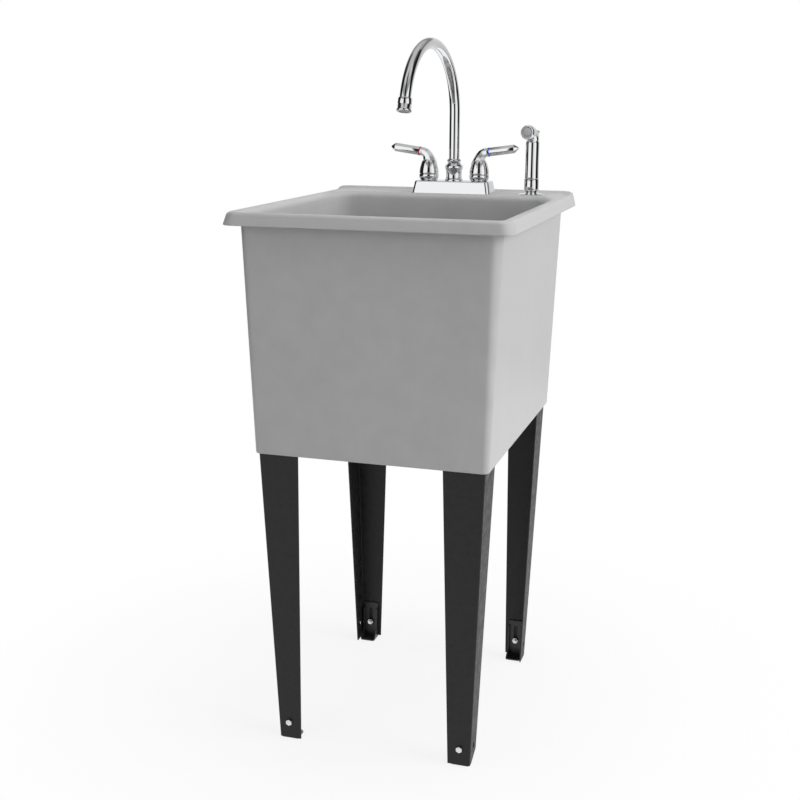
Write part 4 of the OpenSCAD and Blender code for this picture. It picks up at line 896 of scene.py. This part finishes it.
bm = bmesh.new()
bmesh.ops.create_circle(bm, cap_ends=False, radius=TUBE_R, segments=48)
bmesh.ops.translate(bm, verts=bm.verts, vec=(0, 0, TUBE_START))
verts, edges = drawn_on(bm, bm.edges[:], (0, 0, RISER_Z - TUBE_START))
verts, edges = drawn_on(bm, edges, (0, 0, ARCH_Z - RISER_Z))
bent = bmesh.ops.spin(
    bm, geom=edges, axis=(0, 1, 0), cent=(ARCH_R, 0, ARCH_Z), angle=ARCH_SWEEP, steps=ARCH_STEPS, use_merge=False,
)["geom_last"]
edges = [g for g in bent if isinstance(g, bmesh.types.BMEdge)]
way_on = Vector((math.sin(ARCH_SWEEP), 0, math.cos(ARCH_SWEEP)))
drawn_on(bm, edges, way_on * STUB)
bmesh.ops.remove_doubles(bm, verts=bm.verts, dist=0.001)
bmesh.ops.recalc_face_normals(bm, faces=bm.faces)
bmesh.ops.solidify(bm, geom=bm.faces[:], thickness=TUBE_WALL)
bmesh.ops.recalc_face_normals(bm, faces=bm.faces)
spout_frame = Matrix.Translation((FAUCET_X, FAUCET_Y, 0)) @ Matrix.Rotation(ARCH_TURN, 4, "Z")
bmesh.ops.transform(bm, matrix=spout_frame, verts=bm.verts)
place_piece("spout_chrome", bm, "spout_tube", sharp=50)

# %% [markdown]
# The aerator screws onto the end of the spout. Its body is turned, with a shallow groove and a thicker lip, and it is
# made upright first and then tipped to the direction in which the tube ends.

# %% Aerator
AERATOR_R, AERATOR_L = 11.4, 22
arch_end = Vector((ARCH_R * (1 - math.cos(ARCH_SWEEP)), 0, ARCH_Z + ARCH_R * math.sin(ARCH_SWEEP)))
at_end = spout_frame @ Matrix.Translation(arch_end) @ Matrix.Rotation(ARCH_SWEEP, 4, "Y")
profile = [
    (9.4, 0), (10.4, 0), (11.1, 0.4), (AERATOR_R, 1.2), (AERATOR_R, 9.6), (11, 10.2), (11, 11), (AERATOR_R, 11.6),
    (AERATOR_R, 17.6), (11.9, 18.2), (12.35, 19), (12.4, 20.6), (12, 21.5), (11.4, AERATOR_L), (9.2, AERATOR_L),
    (7.8, 21.2), (7.8, 19), (9.75, 19), (9.75, STUB), (9.4, STUB),
]
bm = spun(profile)
bmesh.ops.transform(bm, matrix=at_end, verts=bm.verts)
place_piece("aerator_chrome", bm, "aerator_housing", sharp=40)

# %% [markdown]
# ## Lever handles
# A handle starts as a bell over its valve, leans outward through a neck and ends in an eight-sided lever with a pointed
# tip. The bell is spun. The neck and lever are one octagon drawn from station to station, each with its own place,
# slope and radius, so the eight flats run the whole way as they do on the casting. The hot handle is its mirror image.

# %% Handles
LEVER_Z, LEVER_SLOPE, RING_REACH, LEVER_R = 953.5, 8, 16, 8
STRAIGHT, TIP_L, TIP_R, START_ANGLE = 46.5, 7.5, 2.2, math.radians(22.5)
HUB_Z = BONNET_TOP + 0.3


def along(reach, height, slope, radius):
    """A station of the neck or lever: where its middle is, which way it points and how wide it is."""
    return (Vector((reach, 0, height)), math.radians(slope), radius)


def lever_station(distance, radius):
    slope = math.radians(LEVER_SLOPE)
    return along(RING_REACH + distance * math.cos(slope), LEVER_Z + distance * math.sin(slope), LEVER_SLOPE, radius)


def drawn_through(bm, stations, sides):
    """Draws a many-sided ring through stations in the XZ plane and closes both ends."""
    made = bmesh.ops.create_circle(bm, cap_ends=False, radius=1, segments=sides)["verts"]
    bmesh.ops.rotate(bm, verts=made, matrix=Matrix.Rotation(START_ANGLE, 3, "Z"))
    ring = {v: v.co.copy() for v in made}
    edges = list({e for v in made for e in v.link_edges})
    first = edges
    for number, (middle, slope, radius) in enumerate(stations):
        if number:
            made = bmesh.ops.extrude_edge_only(bm, edges=edges)["geom"]
            verts = [g for g in made if isinstance(g, bmesh.types.BMVert)]
            edges = [g for g in made if isinstance(g, bmesh.types.BMEdge) and set(g.verts) <= set(verts)]
            ring = {v: min(ring.items(), key=lambda item: (item[0].co - v.co).length)[1] for v in verts}
        heading = Matrix.Rotation(math.pi / 2 - slope, 3, "Y")
        for vert, unit in ring.items():
            vert.co = middle + heading @ Vector((unit.x * radius, unit.y * radius, 0))
    bmesh.ops.holes_fill(bm, edges=first + edges, sides=sides)
    bmesh.ops.recalc_face_normals(bm, faces=bm.faces)


BELL = (
    (0, 0), (10, 0), (16.6, 0), (17.1, 0.5), (17.25, 2.4), (17.1, 5), (16.5, 9), (15.6, 12.5), (14.7, 15.6),
    (13.8, 18.6), (12.6, 21.6), (10.9, 24.2), (8.6, 26.3), (5, 27.6), (0, 28),
)
LEVER_EDGE, LEVER_START = 0.35, 14


def set_on_hub(bm, name, side):
    """Turns a handle's piece to its side of the faucet and puts it over its hub."""
    bmesh.ops.scale(bm, verts=bm.verts, vec=(side, 1, 1))
    bmesh.ops.recalc_face_normals(bm, faces=bm.faces)
    bmesh.ops.translate(bm, verts=bm.verts, vec=(HUBS_X[name], FAUCET_Y, 0))


for name, side in (("hot", -1), ("cold", 1)):
    bm = spun([(radius, HUB_Z + z) for radius, z in BELL])
    stations = [
        along(-1.5, HUB_Z + 16, 88, 13.6), along(-1, HUB_Z + 21, 86, 12.2), along(0.2, HUB_Z + 26.5, 78, 10.4),
        along(2.4, HUB_Z + 31.5, 64, 9.1), along(5.6, HUB_Z + 35.6, 46, 8.4), along(10, HUB_Z + 37.9, 24, 8.05),
        along(13.5, HUB_Z + 38.45, 11, 8), lever_station(-0.1, LEVER_R), lever_station(0, LEVER_R - 0.6),
        lever_station(2, LEVER_R - 0.6), lever_station(2.1, LEVER_R), lever_station(STRAIGHT, LEVER_R),
        lever_station(STRAIGHT + TIP_L, TIP_R),
    ]
    drawn_through(bm, stations, 8)
    soften(bm, LEVER_EDGE, angle=20, keep=lambda e: min(v.co.x for v in e.verts) > LEVER_START)
    set_on_hub(bm, name, side)
    place_piece(f"{name}_lever", bm, f"{name}_handle", sharp=28)

    bm = bmesh.new()
    stations = [lever_station(at, LEVER_R + out) for at, out in ((0.15, 0.1), (0.5, 0.5), (1.5, 0.5), (1.85, 0.1))]
    drawn_through(bm, stations, 8)
    set_on_hub(bm, name, side)
    place_piece(f"{name}_ring_band", bm, f"{name}_index_ring", sharp=28)

# %% [markdown]
# ## Side sprayer
# The sprayer stands in a chrome cup on a thin domed flange. Its grip narrows a little in the middle and it bends over
# into a round head with a grey face. The grip is spun, and the head is a ring drawn round the bend.

# %% Sprayer holder and handset
HEAD_Z, HEAD_TURN, FACE_OUT = DECK_Z + 107, math.radians(-101), 3.6
CUP_TOP = DECK_Z + 27

profile = [
    (8, DECK_Z - 38), (11.5, DECK_Z - 38), (11.5, DECK_Z + 0.05), (23.3, DECK_Z + 0.05), (23.4, DECK_Z + 0.5),
    (22.6, DECK_Z + 1.1), (19, DECK_Z + 1.9), (14, DECK_Z + 2.5), (10.6, DECK_Z + 2.9), (9.7, DECK_Z + 3.4),
    (9.8, DECK_Z + 4), (10.9, DECK_Z + 5.2), (12, DECK_Z + 7), (12.6, DECK_Z + 9.4), (12.7, DECK_Z + 12),
    (12.7, CUP_TOP - 0.5), (12.3, CUP_TOP), (11.7, CUP_TOP), (11.5, CUP_TOP - 0.4), (11.5, DECK_Z + 7),
    (8, DECK_Z + 7),
]
place_piece("sprayer_cup", spun(profile, (SPRAYER_X, FAUCET_Y)), "sprayer_holder", sharp=45)

low, top = DECK_Z + 7.3, DECK_Z + 91
profile = [
    (0, low), (10.6, low), (11, low + 0.5), (11, CUP_TOP + 0.3), (11.7, CUP_TOP + 0.35), (12.05, CUP_TOP + 0.8),
    (12.1, CUP_TOP + 2.4), (12, CUP_TOP + 7), (11.8, CUP_TOP + 16), (11.7, CUP_TOP + 28), (11.7, CUP_TOP + 42),
    (11.8, CUP_TOP + 54), (11.75, top - 4), (11.7, top - 1.4), (11.2, top - 0.4), (10.3, top), (0, top),
]
bm = spun(profile)
stations = [
    along(0, top - 2, 90, 10.4), along(0, top + 0.6, 90, 10.5), along(0, top + 2.2, 87, 11),
    along(0.6, HEAD_Z - 10.8, 76, 11.3), along(1.9, HEAD_Z - 8, 60, 11.4), along(3.9, HEAD_Z - 5.5, 44, 11.4),
    along(6.6, HEAD_Z - 3.3, 30, 11.4), along(9.8, HEAD_Z - 1.6, 17, 11.5), along(13.4, HEAD_Z - 0.5, 7, 11.7),
    along(17.8, HEAD_Z, 0, 11.9), along(18.6, HEAD_Z, 0, 12.2), along(23.2 + FACE_OUT, HEAD_Z, 0, 12.2),
    along(23.8 + FACE_OUT, HEAD_Z, 0, 11.8), along(24 + FACE_OUT, HEAD_Z, 0, 11.1),
    along(23.9 + FACE_OUT, HEAD_Z, 0, 10.6), along(21.4 + FACE_OUT, HEAD_Z, 0, 10.5),
]
head = bmesh.new()
drawn_through(head, stations, 48)
head_mesh = bpy.data.meshes.new("head_shape")
head.to_mesh(head_mesh)
head.free()
bm.from_mesh(head_mesh)
bpy.data.meshes.remove(head_mesh)
bmesh.ops.transform(
    bm, verts=bm.verts, matrix=Matrix.Translation((SPRAYER_X, FAUCET_Y, 0)) @ Matrix.Rotation(HEAD_TURN, 4, "Z"),
)
place_piece("sprayer_handset", bm, "sprayer_body", sharp=38)

# %% Spray face
face_frame = (
    Matrix.Translation((SPRAYER_X, FAUCET_Y, HEAD_Z)) @ Matrix.Rotation(HEAD_TURN, 4, "Z")
    @ Matrix.Rotation(math.pi / 2, 4, "Y") @ Matrix.Translation((0, 0, FACE_OUT))
)
profile = [
    (0, 21.3), (10.3, 21.3), (10.3, 23.1), (9.9, 23.5), (9.1, 23.5), (8.3, 23.2), (7.6, 22.9), (7, 23.1), (6.5, 23.6),
    (5.9, 23.9), (3, 23.95), (0, 24),
]
bm = spun(profile)
bmesh.ops.transform(bm, matrix=face_frame, verts=bm.verts)
place_piece("spray_face_disc", bm, "sprayer_face", sharp=35)

# %% [markdown]
# ## Drain and other turned or cut pieces
# The drain, the handset's trigger and the foot nuts keep their CAD shapes, which are joined up and softened like the
# legs.

# %% Softened CAD shapes
for node, width in (
    ("drain_strainer", 0.4), ("drain_locknut", 0.5), ("drain_tailpiece", 0.3), ("drain_slip_nut", 0.6),
    ("sprayer_trigger", 0.5), ("foot_nuts", 0.4),
):
    bm = welded(node)
    soften(bm, width, angle=40)
    place_piece(f"{node}_softened", bm, node, sharp=30)
